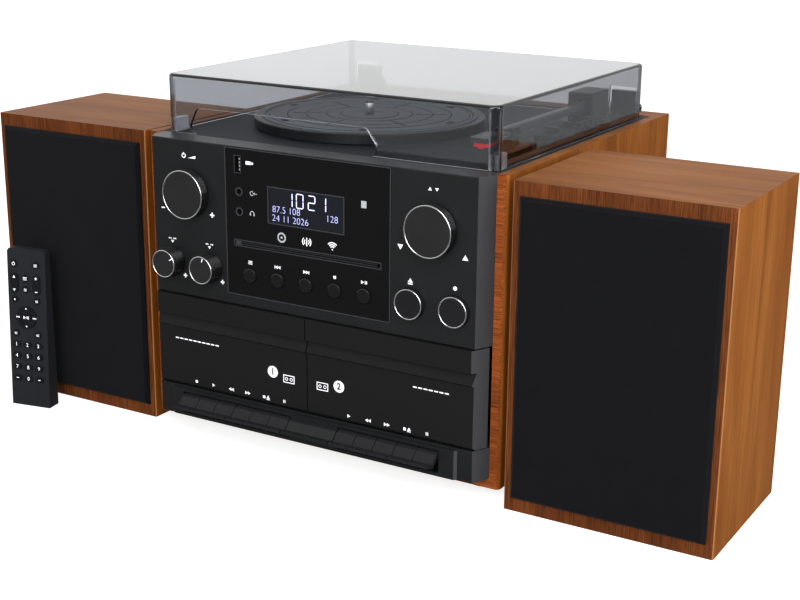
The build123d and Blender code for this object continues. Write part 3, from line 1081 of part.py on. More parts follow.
MECH_TOP_H = 112.0
CHEEK_T, CHEEK_GAP, CHEEK_TOP_H, CHEEK_FRONT_Y = 2.0, 0.4, 38.0, 11.5
RAIL_H = 6.0
HUB_FRONT_Y = -3.0
FLYWHEEL_H, FLYWHEEL_T = 56.0, 6.0
with BuildPart() as tape_mechanisms:
    for side, (left, right) in zip((-1, 1), banks):
        with BuildSketch(facing(MECH_Y + MECH_PLATE_T, side * DOOR_X)):
            with Locations((0, (FLOOR_H + MECH_TOP_H) / 2)):
                Rectangle(MECH_W, MECH_TOP_H - FLOOR_H)
        extrude(amount=MECH_PLATE_T)
        with BuildSketch(level(FLOOR_H, (left + right) / 2)):
            with Locations((0, (CHEEK_FRONT_Y + MECH_Y + MECH_PLATE_T) / 2)):
                Rectangle(right - left + 2 * (CHEEK_GAP + CHEEK_T), MECH_Y + MECH_PLATE_T - CHEEK_FRONT_Y)
        extrude(amount=RAIL_H)
        for cheek_x in (left - CHEEK_GAP - CHEEK_T, right + CHEEK_GAP):
            with BuildSketch(profile(cheek_x)):
                with Locations(((CHEEK_FRONT_Y + MECH_Y) / 2, (FLOOR_H + CHEEK_TOP_H) / 2)):
                    Rectangle(MECH_Y - CHEEK_FRONT_Y, CHEEK_TOP_H - FLOOR_H)
            extrude(amount=CHEEK_T)
        with BuildSketch(profile(left - CHEEK_GAP - CHEEK_T)):
            with Locations((KEY_PIVOT_Y, KEY_PIVOT_H)):
                Circle(KEY_ROD_R)
        extrude(amount=right - left + 2 * (CHEEK_GAP + CHEEK_T))
        with BuildSketch(facing(MECH_Y, side * DOOR_X, HUB_H)):
            with GridLocations(HUB_SPACING, 1, 2, 1):
                Circle(HUB_R)
        extrude(amount=MECH_Y - HUB_FRONT_Y)
        with BuildSketch(facing(MECH_Y + MECH_PLATE_T + FLYWHEEL_T, side * DOOR_X, FLYWHEEL_H)):
            Circle(FLYWHEEL_R)
        extrude(amount=FLYWHEEL_T)
save(tape_mechanisms, "tape_mechanisms")

# ================================================================ speakers
speaker_spots = {"left": (set_left + SPEAKER_W / 2, LEFT_FRONT_Y),
                 "right": (set_right - SPEAKER_W / 2, RIGHT_FRONT_Y)}
GRILLE_GAP = 0.3
GRILLE_FRAME, CLOTH_T = 12.0, 2.0
grille_w = SPEAKER_W - 2 * GRILLE_SIDE_MARGIN
grille_h = SPEAKER_H - 2 * GRILLE_END_MARGIN
CONE_R, CONE_BACK_R, CONE_DEPTH, MAGNET_R = 46.0, 22.0, 24.0, 34.0
CONE_GAP = 1.0
WOOFER_HOLE_R = WOOFER_R + CONE_GAP
FLANGE_PLATE_T = 2.4
BOX_EDGE_R = 1.0

for side, (x, front_y) in speaker_spots.items():
    with BuildPart() as box:
        with BuildSketch(level(0, x, front_y + SPEAKER_D / 2)):
            Rectangle(SPEAKER_W, SPEAKER_D)
        extrude(amount=SPEAKER_H)
        fillet(box.edges().filter_by(Axis.Z).group_by(Axis.Y)[0], BOX_EDGE_R)
        with BuildSketch(level(SPEAKER_BOARD, x, front_y + SPEAKER_D / 2)):
            Rectangle(SPEAKER_W - 2 * SPEAKER_BOARD, SPEAKER_D - 2 * SPEAKER_BOARD)
        extrude(amount=SPEAKER_H - 2 * SPEAKER_BOARD, mode=Mode.SUBTRACT)
        with BuildSketch(facing(front_y + GRILLE_SEAT, x, SPEAKER_H / 2)):
            Rectangle(grille_w + 2 * GRILLE_GAP, grille_h + 2 * GRILLE_GAP)
        extrude(amount=GRILLE_SEAT + SPARE, mode=Mode.SUBTRACT)
        with BuildSketch(facing(front_y + SPEAKER_BOARD + SPARE, x, WOOFER_H)):
            Circle(WOOFER_HOLE_R)
        extrude(amount=SPEAKER_BOARD, mode=Mode.SUBTRACT)
    save(box, f"speaker_{side}_box")
    with BuildPart() as grille:
        with BuildSketch(facing(front_y + GRILLE_SEAT, x, SPEAKER_H / 2)):
            Rectangle(grille_w, grille_h)
        extrude(amount=GRILLE_SEAT + GRILLE_PROUD)
        chamfer(grille.edges().group_by(Axis.Y)[0], GRILLE_BEVEL)
        with BuildSketch(facing(front_y + GRILLE_SEAT, x, SPEAKER_H / 2)):
            Rectangle(grille_w - 2 * GRILLE_FRAME, grille_h - 2 * GRILLE_FRAME)
        extrude(amount=GRILLE_SEAT + GRILLE_PROUD - CLOTH_T, mode=Mode.SUBTRACT)
    save(grille, f"speaker_{side}_grille")

with BuildPart() as woofers:
    for x, front_y in speaker_spots.values():
        baffle_y = front_y + GRILLE_SEAT
        with BuildSketch(facing(baffle_y, x, WOOFER_H)):
            Circle(WOOFER_FLANGE_R)
        extrude(amount=FLANGE_PLATE_T)
        with BuildSketch(facing(baffle_y, x, WOOFER_H)):
            Circle(WOOFER_R)
        with BuildSketch(facing(baffle_y + CONE_DEPTH + CONE_GAP, x, WOOFER_H)):
            Circle(CONE_BACK_R + 2 * CONE_GAP)
        loft()
        with BuildSketch(facing(baffle_y + WOOFER_DEPTH, x, WOOFER_H)):
            Circle(MAGNET_R)
        extrude(amount=WOOFER_DEPTH - CONE_DEPTH)
        with BuildSketch(facing(baffle_y - FLANGE_PLATE_T, x, WOOFER_H)):
            Circle(CONE_R)
        with BuildSketch(facing(baffle_y + CONE_DEPTH - CONE_GAP, x, WOOFER_H)):
            Circle(CONE_BACK_R)
        loft(mode=Mode.SUBTRACT)
save(woofers, "woofers")

# ================================================================ remote control
yaw = radians(REMOTE_YAW)
remote_origin = (MAIN_X + REMOTE_X, MAIN_Y + REMOTE_Y, 0)
along = (cos(yaw), sin(yaw), 0)
remote_side = Plane(origin=remote_origin, x_dir=(-sin(yaw), cos(yaw), 0), z_dir=along)
lean = atan((REMOTE_FOOT_T - REMOTE_TOP_T) / REMOTE_L)
key_face = Plane(origin=remote_origin, x_dir=along,
                 z_dir=(sin(yaw) * cos(lean), -cos(yaw) * cos(lean), sin(lean)))

with BuildPart() as remote_case:
    with BuildSketch(remote_side.offset(-REMOTE_W / 2)):
        with BuildLine():
            Polyline((0, 0), (REMOTE_FOOT_T, 0), (REMOTE_FOOT_T, REMOTE_L),
                     (REMOTE_FOOT_T - REMOTE_TOP_T, REMOTE_L), close=True)
        make_face()
    extrude(amount=REMOTE_W)
    remote_top = remote_case.faces().sort_by(Axis.Z)[-1]
    fillet(remote_top.edges().sort_by(SortBy.LENGTH)[:2], REMOTE_CORNER_R)
save(remote_case, "remote_case")

COLUMN_PITCH, COLUMN_OFFSET = 11.0, -1.0
DIGIT_FIRST_V, DIGIT_PITCH = 25.1, 10.3
DIGIT_ROWS_N = 4
DIGIT_W, DIGIT_L = 8.0, 5.2
ROCKER_W, ROCKER_L, ROCKER_V = 7.4, 18.0, 111.0
SMALL_R = 3.0
POWER_V, MIDDLE_UPPER_V, MIDDLE_LOWER_V, ABOVE_RING_V, BELOW_RING_V = 128.5, 116.0, 106.0, 96.5, 66.0
RING_R, RING_HOLE_R, RING_V, OK_R = 10.0, 6.4, 81.0, 4.6
remote_columns = [COLUMN_OFFSET + i * COLUMN_PITCH for i in (-1, 0, 1)]
digit_rows = [DIGIT_FIRST_V + i * DIGIT_PITCH for i in range(DIGIT_ROWS_N)]
outer_columns = (remote_columns[0], remote_columns[2])
small_keys = [(u, v) for u in outer_columns for v in (POWER_V, ABOVE_RING_V, BELOW_RING_V)]
small_keys += [(COLUMN_OFFSET, v) for v in (MIDDLE_UPPER_V, MIDDLE_LOWER_V)]
with BuildPart() as remote_keys:
    with BuildSketch(key_face):
        with Locations(*[(u, v) for u in remote_columns for v in digit_rows]):
            SlotOverall(DIGIT_W, DIGIT_L)
        with Locations(*[(u, ROCKER_V) for u in outer_columns]):
            SlotOverall(ROCKER_L, ROCKER_W, rotation=90)
        with Locations(*small_keys):
            Circle(SMALL_R)
        with Locations((COLUMN_OFFSET, RING_V)):
            Circle(RING_R)
            Circle(RING_HOLE_R, mode=Mode.SUBTRACT)
            Circle(OK_R)
    extrude(amount=REMOTE_KEY_T)
save(remote_keys, "remote_keys")
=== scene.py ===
"""Looks of a stereo music centre: finishes, printed marks, bright trims, studio and camera.

Places on the main unit are millimetres: x from its centre line, y from the front of its wooden
cabinet (positive to the back) and z from the table. at() turns them into the frame's metres.
"""

import json
from math import cos, pi, radians, sin

import bpy
from mathutils import Matrix, Vector

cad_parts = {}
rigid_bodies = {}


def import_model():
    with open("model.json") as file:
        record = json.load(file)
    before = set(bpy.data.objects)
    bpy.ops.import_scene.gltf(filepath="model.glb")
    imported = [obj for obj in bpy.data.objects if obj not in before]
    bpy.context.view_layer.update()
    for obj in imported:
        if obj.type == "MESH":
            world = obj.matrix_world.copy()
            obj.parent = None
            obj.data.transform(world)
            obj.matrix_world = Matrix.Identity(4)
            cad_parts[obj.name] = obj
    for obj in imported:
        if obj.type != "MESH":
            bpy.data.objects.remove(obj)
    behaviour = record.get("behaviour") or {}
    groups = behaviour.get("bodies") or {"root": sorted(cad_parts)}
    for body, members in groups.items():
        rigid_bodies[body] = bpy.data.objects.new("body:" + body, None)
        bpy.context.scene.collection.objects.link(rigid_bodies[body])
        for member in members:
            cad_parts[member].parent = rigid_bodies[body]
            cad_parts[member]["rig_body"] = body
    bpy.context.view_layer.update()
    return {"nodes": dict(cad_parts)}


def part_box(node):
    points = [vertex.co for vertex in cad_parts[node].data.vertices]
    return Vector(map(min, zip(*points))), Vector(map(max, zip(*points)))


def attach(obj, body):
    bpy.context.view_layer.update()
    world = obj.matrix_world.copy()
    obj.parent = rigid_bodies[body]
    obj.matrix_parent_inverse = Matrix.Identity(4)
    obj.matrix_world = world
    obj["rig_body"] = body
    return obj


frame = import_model()
NODES = frame["nodes"]
MM = 0.001

cabinet_low, cabinet_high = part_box("wood_cabinet")
MAIN_X = (cabinet_low.x + cabinet_high.x) / 2
MAIN_Y = cabinet_low.y


def at(x, y, z):
    return Vector((MAIN_X + x * MM, MAIN_Y + y * MM, z * MM))


def middle(node):
    """Middle of a CAD node's box, in the frame's metres."""
    low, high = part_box(node)
    return (low + high) / 2


# ======== meshes
ROUND = 64


def facing(origin, turn=0.0, lean=0.0):
    """Frame on a face that looks to the listener: local x right, y up, z out of the face."""
    return (Matrix.Translation(origin) @ Matrix.Rotation(turn, 4, "Z")
            @ Matrix.Rotation(pi / 2 - lean, 4, "X"))


def lying(origin):
    """Frame on a face that looks up."""
    return Matrix.Translation(origin)


def shifted(place, u, v):
    """A frame moved along its own face, in millimetres."""
    return place @ Matrix.Translation((u * MM, v * MM, 0))


def add_object(name, data):
    made = bpy.data.objects.new(name, data)
    bpy.context.scene.collection.objects.link(made)
    return made


def finish_piece(name, mesh, material, body, smooth=False):
    mesh.validate()
    mesh.materials.append(material)
    for polygon in mesh.polygons:
        polygon.use_smooth = smooth
    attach(add_object(name, mesh), body)


def prisms(name, outlines, place, height, material, body, base=0.0):
    """Flat shapes, in local millimetres, raised off a face by height."""
    points, faces = [], []
    for outline in outlines:
        start, count = len(points), len(outline)
        for level in (base, base + height):
            points += [place @ (Vector((u, v, level)) * MM) for u, v in outline]
        faces.append([start + i for i in reversed(range(count))])
        faces.append([start + count + i for i in range(count)])
        for i in range(count):
            j = (i + 1) % count
            faces.append([start + i, start + j, start + count + j, start + count + i])
    mesh = bpy.data.meshes.new(name)
    mesh.from_pydata(points, [], faces)
    finish_piece(name, mesh, material, body)


def lathe(name, outline, place, material, body, smooth=True):
    """A closed outline of (radius, height) millimetres turned about the local z axis."""
    count = len(outline)
    points = [place @ (Vector((r * cos(2 * pi * i / ROUND), r * sin(2 * pi * i / ROUND), h)) * MM)
              for i in range(ROUND) for r, h in outline]
    faces = []
    for i in range(ROUND):
        here, beyond = i * count, (i + 1) % ROUND * count
        for k in range(count):
            j = (k + 1) % count
            faces.append([here + k, beyond + k, beyond + j, here + j])
    mesh = bpy.data.meshes.new(name)
    mesh.from_pydata(points, [], faces)
    finish_piece(name, mesh, material, body, smooth)


def band(name, outer, inner, low, high, place, material, body, edge=0.12):
    """A turned ring with bevelled edges."""
    outline = [(inner, low), (outer - edge, low), (outer, low + edge), (outer, high - edge),
               (outer - edge, high), (inner + edge, high), (inner, high - edge)]
    lathe(name, outline, place, material, body, smooth=False)


# -------- outlines of printed marks
def moved(outline, u, v, scale=1.0):
    return [(u + x * scale, v + y * scale) for x, y in outline]


def rectangle(half_w, bottom, top):
    return [(-half_w, bottom), (half_w, bottom), (half_w, top), (-half_w, top)]


def bar(width, height):
    return rectangle(width / 2, -height / 2, height / 2)


def disc(radius, steps=28):
    return [(radius * cos(2 * pi * i / steps), radius * sin(2 * pi * i / steps)) for i in range(steps)]


def arc_strip(radius, width, start, end, steps=24):
    """Part of a ring between two angles in degrees, as one outline."""
    angles = [radians(start + (end - start) * i / steps) for i in range(steps + 1)]
    outer = [((radius + width / 2) * cos(a), (radius + width / 2) * sin(a)) for a in angles]
    inner = [((radius - width / 2) * cos(a), (radius - width / 2) * sin(a)) for a in reversed(angles)]
    return outer + inner


def plus(size, width):
    h, w = size / 2, width / 2
    return [(-w, -h), (w, -h), (w, -w), (h, -w), (h, w), (w, w), (w, h), (-w, h), (-w, w), (-h, w),
            (-h, -w), (-w, -w)]


TRIANGLE_UP = [(-0.62, -0.5), (0.62, -0.5), (0, 0.5)]
TRIANGLE_DOWN = [(-0.62, 0.5), (0, -0.5), (0.62, 0.5)]
TRIANGLE_RIGHT = [(-0.5, -0.55), (0.5, 0), (-0.5, 0.55)]
TRIANGLE_LEFT = [(0.5, -0.55), (0.5, 0.55), (-0.5, 0)]
SQUARE = bar(0.9, 0.9)
UPRIGHT = bar(0.26, 1.0)


def sign(*shapes):
    """Shapes of one symbol, each with its place along the line."""
    return [moved(outline, u, 0) for outline, u in shapes]


SIGNS = {
    "record": [disc(0.5)],
    "play": [TRIANGLE_RIGHT],
    "rewind": sign((TRIANGLE_LEFT, -0.5), (TRIANGLE_LEFT, 0.5)),
    "forward": sign((TRIANGLE_RIGHT, -0.5), (TRIANGLE_RIGHT, 0.5)),
    "stop": [SQUARE],
    "pause": sign((UPRIGHT, -0.26), (UPRIGHT, 0.26)),
    "eject": [moved(TRIANGLE_UP, 0, 0.2), moved(bar(1.24, 0.24), 0, -0.62)],
    "stop_eject": [moved(SQUARE, -0.8, 0), moved(TRIANGLE_UP, 0.7, 0.2), moved(bar(1.24, 0.24), 0.7, -0.62)],
    "previous": sign((UPRIGHT, -1.1), (TRIANGLE_LEFT, -0.5), (TRIANGLE_LEFT, 0.5)),
    "next": sign((TRIANGLE_RIGHT, -0.5), (TRIANGLE_RIGHT, 0.5), (UPRIGHT, 1.1)),
    "play_pause": sign((TRIANGLE_RIGHT, -0.6), (UPRIGHT, 0.35), (UPRIGHT, 0.85)),
    "menu": [moved(bar(1.6, 0.2), 0, v) for v in (-0.45, 0, 0.45)],
    "up": [TRIANGLE_UP],
    "down": [TRIANGLE_DOWN],
    "plus": [plus(1.0, 0.28)],
    "minus": [bar(1.0, 0.3)],
    "power": [arc_strip(0.5, 0.2, 125, 415), moved(bar(0.2, 0.6), 0, 0.45)],
    "line_in": [arc_strip(0.5, 0.18, 40, 320), moved(TRIANGLE_LEFT, 0.55, 0, 0.6),
                moved(bar(0.8, 0.16), 1.1, 0)],
    "headphones": [arc_strip(0.55, 0.2, 0, 180)] + [moved(bar(0.36, 0.6), u, -0.25) for u in (-0.55, 0.55)],
    "disc": [arc_strip(0.55, 0.22, 0, 175), arc_strip(0.55, 0.22, 180, 355), disc(0.16)],
    "radio": [bar(0.16, 1.2)] + [arc_strip(r, 0.14, a - 45, a + 45) for a in (0, 180) for r in (0.4, 0.7)],
    "memory": [moved(bar(1.4, 0.8), -0.3, 0), moved(bar(0.5, 0.5), 0.85, 0)],
    "wireless": [moved(bar(0.2, 0.2), 0, -0.5)]
                + [moved(arc_strip(r, 0.16, 45, 135), 0, -0.5) for r in (0.45, 0.75, 1.05)],
    "wedge": [[(-1.1, -0.35), (1.1, -0.35), (1.1, 0.35)]],
}
PRINT_T = 0.1


def mark(name, kind, size, place, material, body):
    """A printed symbol of a given height on a face."""
    outlines = [moved(outline, 0, 0, size) for outline in SIGNS[kind]]
    prisms(name, outlines, place, PRINT_T, material, body)


SEGMENTS = {"0": "abcdef", "1": "bc", "2": "abged", "3": "abgcd", "4": "fgbc", "5": "afgcd",
            "6": "afgedc", "7": "abc", "8": "abcdefg", "9": "abcfgd"}


def segment_digit(digit, width, height, stroke):
    """Seven-segment digit as a list of outlines around its own middle."""
    w, h, s = width / 2, height / 2, stroke / 2
    gap = stroke * 0.3
    across = [(-w + gap, 0), (-w + gap + s, s), (w - gap - s, s), (w - gap, 0), (w - gap - s, -s),
              (-w + gap + s, -s)]
    upright = [(0, gap), (s, gap + s), (s, h - gap - s), (0, h - gap), (-s, h - gap - s), (-s, gap + s)]
    shapes = {"a": moved(across, 0, h), "g": across, "d": moved(across, 0, -h),
              "b": moved(upright, w, 0), "c": moved(upright, w, -h), "e": moved(upright, -w, -h),
              "f": moved(upright, -w, 0)}
    return [shapes[name] for name in SEGMENTS[digit]]


def number(name, text, size, place, material, body, weight=0.0):
    """Digits in Blender's own typeface, centred on a place."""
    curve = bpy.data.curves.new(name, "FONT")
    curve.body = text
    curve.size = size * MM
    curve.extrude = PRINT_T * MM / 2
    curve.align_x = "CENTER"
    curve.align_y = "CENTER"
    curve.offset = weight * MM
    holder = bpy.data.objects.new(name + "_text", curve)
    mesh = bpy.data.meshes.new_from_object(holder)
    bpy.data.objects.remove(holder)
    mesh.transform(place @ Matrix.Translation((0, 0, PRINT_T * MM / 2)))
    finish_piece(name, mesh, material, body)


# ======== finishes
def linear(red, green, blue):
    """Colour from 0-255 screen values."""
    return tuple((c / 255 / 12.92 if c <= 10 else ((c / 255 + 0.055) / 1.055) ** 2.4)
                 for c in (red, green, blue)) + (1.0,)


class Nodes:
    """A node tree under construction."""

    def __init__(self, tree):
        self.tree = tree

    def node(self, kind, **values):
        made = self.tree.nodes.new(kind)
        for key, value in values.items():
            if hasattr(made, key):
                setattr(made, key, value)
            else:
                made.inputs[key].default_value = value
        return made

    def link(self, output, target):
        self.tree.links.new(output, target)

    def feed(self, values, sockets):
        """Outputs of other nodes are linked to the sockets, plain values are set on them."""
        for value, socket in zip(values, sockets):
            if isinstance(value, bpy.types.NodeSocket):
                self.link(value, socket)
            else:
                socket.default_value = value

    def combine(self, operation, *values):
        made = self.node("ShaderNodeMath", operation=operation)
        self.feed(values, made.inputs)
        return made.outputs[0]


class Finish(Nodes):
    """A procedural material under construction."""

    def __init__(self, name, colour, roughness, metallic=0.0, specular=0.5):
        self.material = bpy.data.materials.new(name)
        self.material.use_nodes = True
        super().__init__(self.material.node_tree)
        self.shader = self.tree.nodes["Principled BSDF"]
        self.set("Base Color", colour)
        self.set("Roughness", roughness)
        self.set("Metallic", metallic)
        self.set("Specular IOR Level", specular)
        self.height = None

    def set(self, socket, value):
        self.shader.inputs[socket].default_value = value

    def place(self, scale=(1, 1, 1), offset=(0, 0, 0)):
        """Position on the object in metres, stretched and moved."""
        coordinates = self.node("ShaderNodeTexCoord")
        mapping = self.node("ShaderNodeMapping", Scale=scale, Location=offset)
        self.link(coordinates.outputs["Object"], mapping.inputs["Vector"])
        return mapping.outputs["Vector"]

    def noise(self, vector, scale, detail, roughness=0.55, distortion=0.0):
        made = self.node("ShaderNodeTexNoise", Scale=scale, Detail=detail, Roughness=roughness,
                         Distortion=distortion)
        self.link(vector, made.inputs["Vector"])
        return made.outputs["Fac"]

    def ramp(self, factor, stops):
        """Colours or greys along a factor: a list of (place, colour)."""
        made = self.node("ShaderNodeValToRGB")
        elements = made.color_ramp.elements
        for i, (spot, colour) in enumerate(stops):
            element = elements[i] if i < len(elements) else elements.new(spot)
            element.position = spot
            element.color = colour if isinstance(colour, tuple) else (colour, colour, colour, 1)
        self.link(factor, made.inputs["Fac"])
        return made.outputs["Color"]

    def mix(self, factor, first, second, kind="MIX"):
        made = self.node("ShaderNodeMix", data_type="RGBA", blend_type=kind)
        self.feed((factor, first, second), (made.inputs["Factor"], made.inputs[6], made.inputs[7]))
        return made.outputs[2]

    def colour(self, output):
        self.link(output, self.shader.inputs["Base Color"])

    def rough(self, output, low, high):
        made = self.node("ShaderNodeMapRange", **{"To Min": low, "To Max": high})
        self.link(output, made.inputs["Value"])
        self.link(made.outputs["Result"], self.shader.inputs["Roughness"])

    def normal_axes(self):
        """Sizes of the surface normal along X, Y and Z."""
        geometry = self.node("ShaderNodeNewGeometry")
        split = self.node("ShaderNodeSeparateXYZ")
        self.link(geometry.outputs["Normal"], split.inputs["Vector"])
        return [self.combine("ABSOLUTE", axis) for axis in split.outputs]

    def on_edges(self, sizes, limit):
        """1 where the normal lies along no axis, as on a small bevel, and 0 elsewhere."""
        largest = self.combine("MAXIMUM", self.combine("MAXIMUM", sizes[0], sizes[1]), sizes[2])
        return self.combine("LESS_THAN", largest, limit)

    def bands(self, vector, direction, scale, distortion, detail=2.0):
        """Waves of straight bands across one axis."""
        made = self.node("ShaderNodeTexWave", wave_type="BANDS", bands_direction=direction,
                         wave_profile="SIN", Scale=scale, Distortion=distortion, Detail=detail)
        self.link(vector, made.inputs["Vector"])
        return made.outputs["Fac"]

    def bump(self, output, distance, strength):
        made = self.node("ShaderNodeBump", Distance=distance, Strength=strength)
        self.link(output, made.inputs["Height"])
        if self.height:
            self.link(self.height, made.inputs["Normal"])
        self.height = made.outputs["Normal"]
        self.link(self.height, self.shader.inputs["Normal"])


# a face looks along an axis when its normal's size there is over FACING, and a bevel stays under EDGE_FACING
FACING, EDGE_FACING, COVER_EDGE_FACING = 0.7, 0.97, 0.96
FIGURE_SPOTS = (0.3, 0.5, 0.7)


def walnut_foil(name, edge_banding=False):
    """Printed walnut: the grain runs up the sides and along the tops.

    With edge banding, the narrow front edges show the short cross grain of their tape.
    """
    wood = Finish(name, linear(140, 90, 55), 0.42, specular=0.08)
    sizes = wood.normal_axes()
    on_side, on_front, on_top = [wood.combine("GREATER_THAN", size, FACING) for size in sizes]

    def grain(across, along):
        """Pattern for one direction of the grain: wide figure, streaks, fine lines and pores."""
        figure = wood.noise(wood.place(across), 30, 3, 0.55, 0.7)
        streaks = wood.noise(wood.place(along), 210, 6, 0.72, 0.3)
        lines = wood.noise(wood.place(along), 1500, 3, 0.65, 0.1)
        pores = wood.noise(wood.place(along), 900, 2, 0.5)
        return figure, streaks, lines, pores

    upright = grain((1, 1, 0.11), (1, 1, 0.022))
    lengthwise = grain((0.11, 1, 1), (0.022, 1, 1))
    level_faces = wood.combine("MAXIMUM", on_top, on_front) if edge_banding else on_top
    figure, streaks, lines, pores = [wood.mix(level_faces, a, b) for a, b in zip(upright, lengthwise)]
    # painted light and shade: sides, tops and fronts get their own lighter or darker walnut colours, as light
    # falls on them
    side_lit_colours = (126, 70, 22), (146, 86, 32), (160, 99, 42)
    top_lit_colours = (112, 64, 22), (132, 78, 30), (146, 90, 40)
    front_shaded_colours = (118, 57, 22), (138, 70, 28), (156, 82, 36)
    # painted shade: the fronts of the speaker boxes are darker still
    if not edge_banding:
        front_shaded_colours = (80, 41, 17), (95, 50, 22), (110, 59, 26)
    side, top, front = [
        wood.ramp(figure, [(spot, linear(*shade)) for spot, shade in zip(FIGURE_SPOTS, shades)])
        for shades in (side_lit_colours, top_lit_colours, front_shaded_colours)]
    base = wood.mix(on_side, front, side)
    base = wood.mix(on_top, base, top)
    calm = wood.ramp(streaks, [(0.34, 0.82), (0.52, 1.0), (0.7, 1.12)])
    strong = wood.ramp(lines, [(0.36, 0.48), (0.5, 1.0), (0.64, 1.5)])
    base = wood.mix(1.0, base, wood.mix(on_front, calm, strong), "MULTIPLY")
    pore_shade = wood.ramp(pores, [(0.34, 0.55), (0.43, 1.0)])
    base = wood.mix(0.55, base, pore_shade, "MULTIPLY")
    # painted highlight: the rounded edges of the speaker boxes get a lighter walnut
    if not edge_banding:
        base = wood.mix(wood.on_edges(sizes, EDGE_FACING), base, linear(160, 106, 62))
    wood.colour(base)
    wood.rough(streaks, 0.52, 0.4)
    wood.bump(pores, 0.0001, 0.3)
    wood.bump(streaks, 0.00008, 0.2)
    return wood.material


UPRIGHT_BEVEL = 0.3


def with_bevel_highlight(finish, colour, bevel_highlight):
    """Colour of a moulding, whose upright bevels can get a lighter colour, a painted highlight."""
    if not bevel_highlight:
        return colour
    across, deep, _ = finish.normal_axes()
    on_bevel = finish.combine("GREATER_THAN", finish.combine("MULTIPLY", across, deep), UPRIGHT_BEVEL)
    return finish.mix(on_bevel, colour, bevel_highlight)


def moulded(name, colour, roughness, grain=2600, depth=0.00003, specular=0.5, patches=0.08, glow=0.0,
            bevel_highlight=None):
    """Moulded plastic or ink with a fine sand texture; a glow, where given, is painted light that keeps small
    white print crisp.
    """
    plastic = Finish(name, colour, roughness, specular=specular)
    vector = plastic.place()
    fine = plastic.noise(vector, grain, 2)
    broad = plastic.noise(vector, 28, 3)
    shade = plastic.ramp(broad, [(0.3, 1 - patches), (0.7, 1 + patches)])
    plastic.colour(plastic.mix(1.0, with_bevel_highlight(plastic, colour, bevel_highlight), shade, "MULTIPLY"))
    plastic.rough(broad, roughness - 0.05, roughness + 0.05)
    plastic.bump(fine, depth, 0.5)
    if glow:
        plastic.set("Emission Color", colour)
        plastic.set("Emission Strength", glow)
    return plastic.material


def polished(name, colour, roughness, specular=0.5, bevel_highlight=None):
    """Glossy plastic, very slightly uneven, with a trace of handling marks."""
    plastic = Finish(name, colour, roughness, specular=specular)
    vector = plastic.place()
    smudge = plastic.noise(vector, 45, 4, 0.65, 0.8)
    speck = plastic.noise(vector, 2400, 1)
    plastic.rough(smudge, roughness - 0.03, roughness + 0.07)
    shade = plastic.ramp(speck, [(0.3, 0.9), (0.7, 1.1)])
    plastic.colour(plastic.mix(1.0, with_bevel_highlight(plastic, colour, bevel_highlight), shade, "MULTIPLY"))
    plastic.bump(plastic.noise(vector, 9, 2), 0.0004, 0.12)
    return plastic.material


def ringed_plastic(name, colour, roughness, pitch):
    """Glossy turned plastic: fine rings round an axis along Y draw each highlight out into a streak."""
    plastic = Finish(name, colour, roughness)
    vector = plastic.place()
    rings = plastic.bands(vector, "Y", pi / 10 / pitch, 0.4)
    shade = plastic.ramp(rings, [(0.2, 0.8), (0.8, 1.15)])
    plastic.colour(plastic.mix(1.0, colour, shade, "MULTIPLY"))
    plastic.rough(plastic.noise(vector, 400, 2), roughness - 0.04, roughness + 0.08)
    plastic.bump(rings, pitch * 0.35, 1.0)
    return plastic.material


def turned_metal(name, colour, roughness, centre, lines):
    """Metal with fine turning lines round an upright axis."""
    metal = Finish(name, colour, roughness, metallic=1.0)
    vector = metal.place(offset=tuple(-c for c in centre))
    split = metal.node("ShaderNodeSeparateXYZ")
    metal.link(vector, split.inputs["Vector"])
    join = metal.node("ShaderNodeCombineXYZ")
    metal.feed((split.outputs["X"], split.outputs["Y"]), join.inputs)
    length = metal.node("ShaderNodeVectorMath", operation="LENGTH")
    metal.link(join.outputs["Vector"], length.inputs[0])
    waves = metal.combine("SINE", metal.combine("MULTIPLY", length.outputs["Value"], lines))
    metal.bump(waves, 0.00002, 0.4)
    metal.rough(metal.noise(vector, 300, 2), roughness - 0.04, roughness + 0.08)
    return metal.material


def plain_metal(name, colour, roughness, brushed=(1, 1, 1)):
    """Metal with fine brushing, which a stretch of the pattern turns into lines."""
    metal = Finish(name, colour, roughness, metallic=1.0)
    lines = metal.noise(metal.place(brushed), 900, 3)
    metal.rough(lines, roughness - 0.05, roughness + 0.1)
    metal.colour(metal.mix(1.0, colour, metal.ramp(lines, [(0.3, 0.88), (0.7, 1.08)]), "MULTIPLY"))
    metal.bump(lines, 0.00002, 0.3)
    return metal.material


def grille_cloth():
    """Stretched black knit: warp and weft threads about half a millimetre apart."""
    cloth = Finish("grille_cloth", linear(24, 25, 28), 0.9, specular=0.05)
    vector = cloth.place()
    warp, weft = [cloth.bands(vector, direction, 610.0, 1.5, 1.0) for direction in ("X", "Z")]
    weave = cloth.mix(1.0, warp, weft, "MULTIPLY")
    blotch = cloth.noise(vector, 60, 3)
    colour = cloth.ramp(weave, [(0.1, linear(13, 13, 16)), (0.8, linear(27, 28, 31))])
    cloth.colour(cloth.mix(1.0, colour, cloth.ramp(blotch, [(0.3, 0.92), (0.7, 1.08)]), "MULTIPLY"))
    cloth.bump(weave, 0.00025, 0.7)
    cloth.set("Sheen Weight", 0.04)
    cloth.set("Sheen Roughness", 0.5)
    return cloth.material


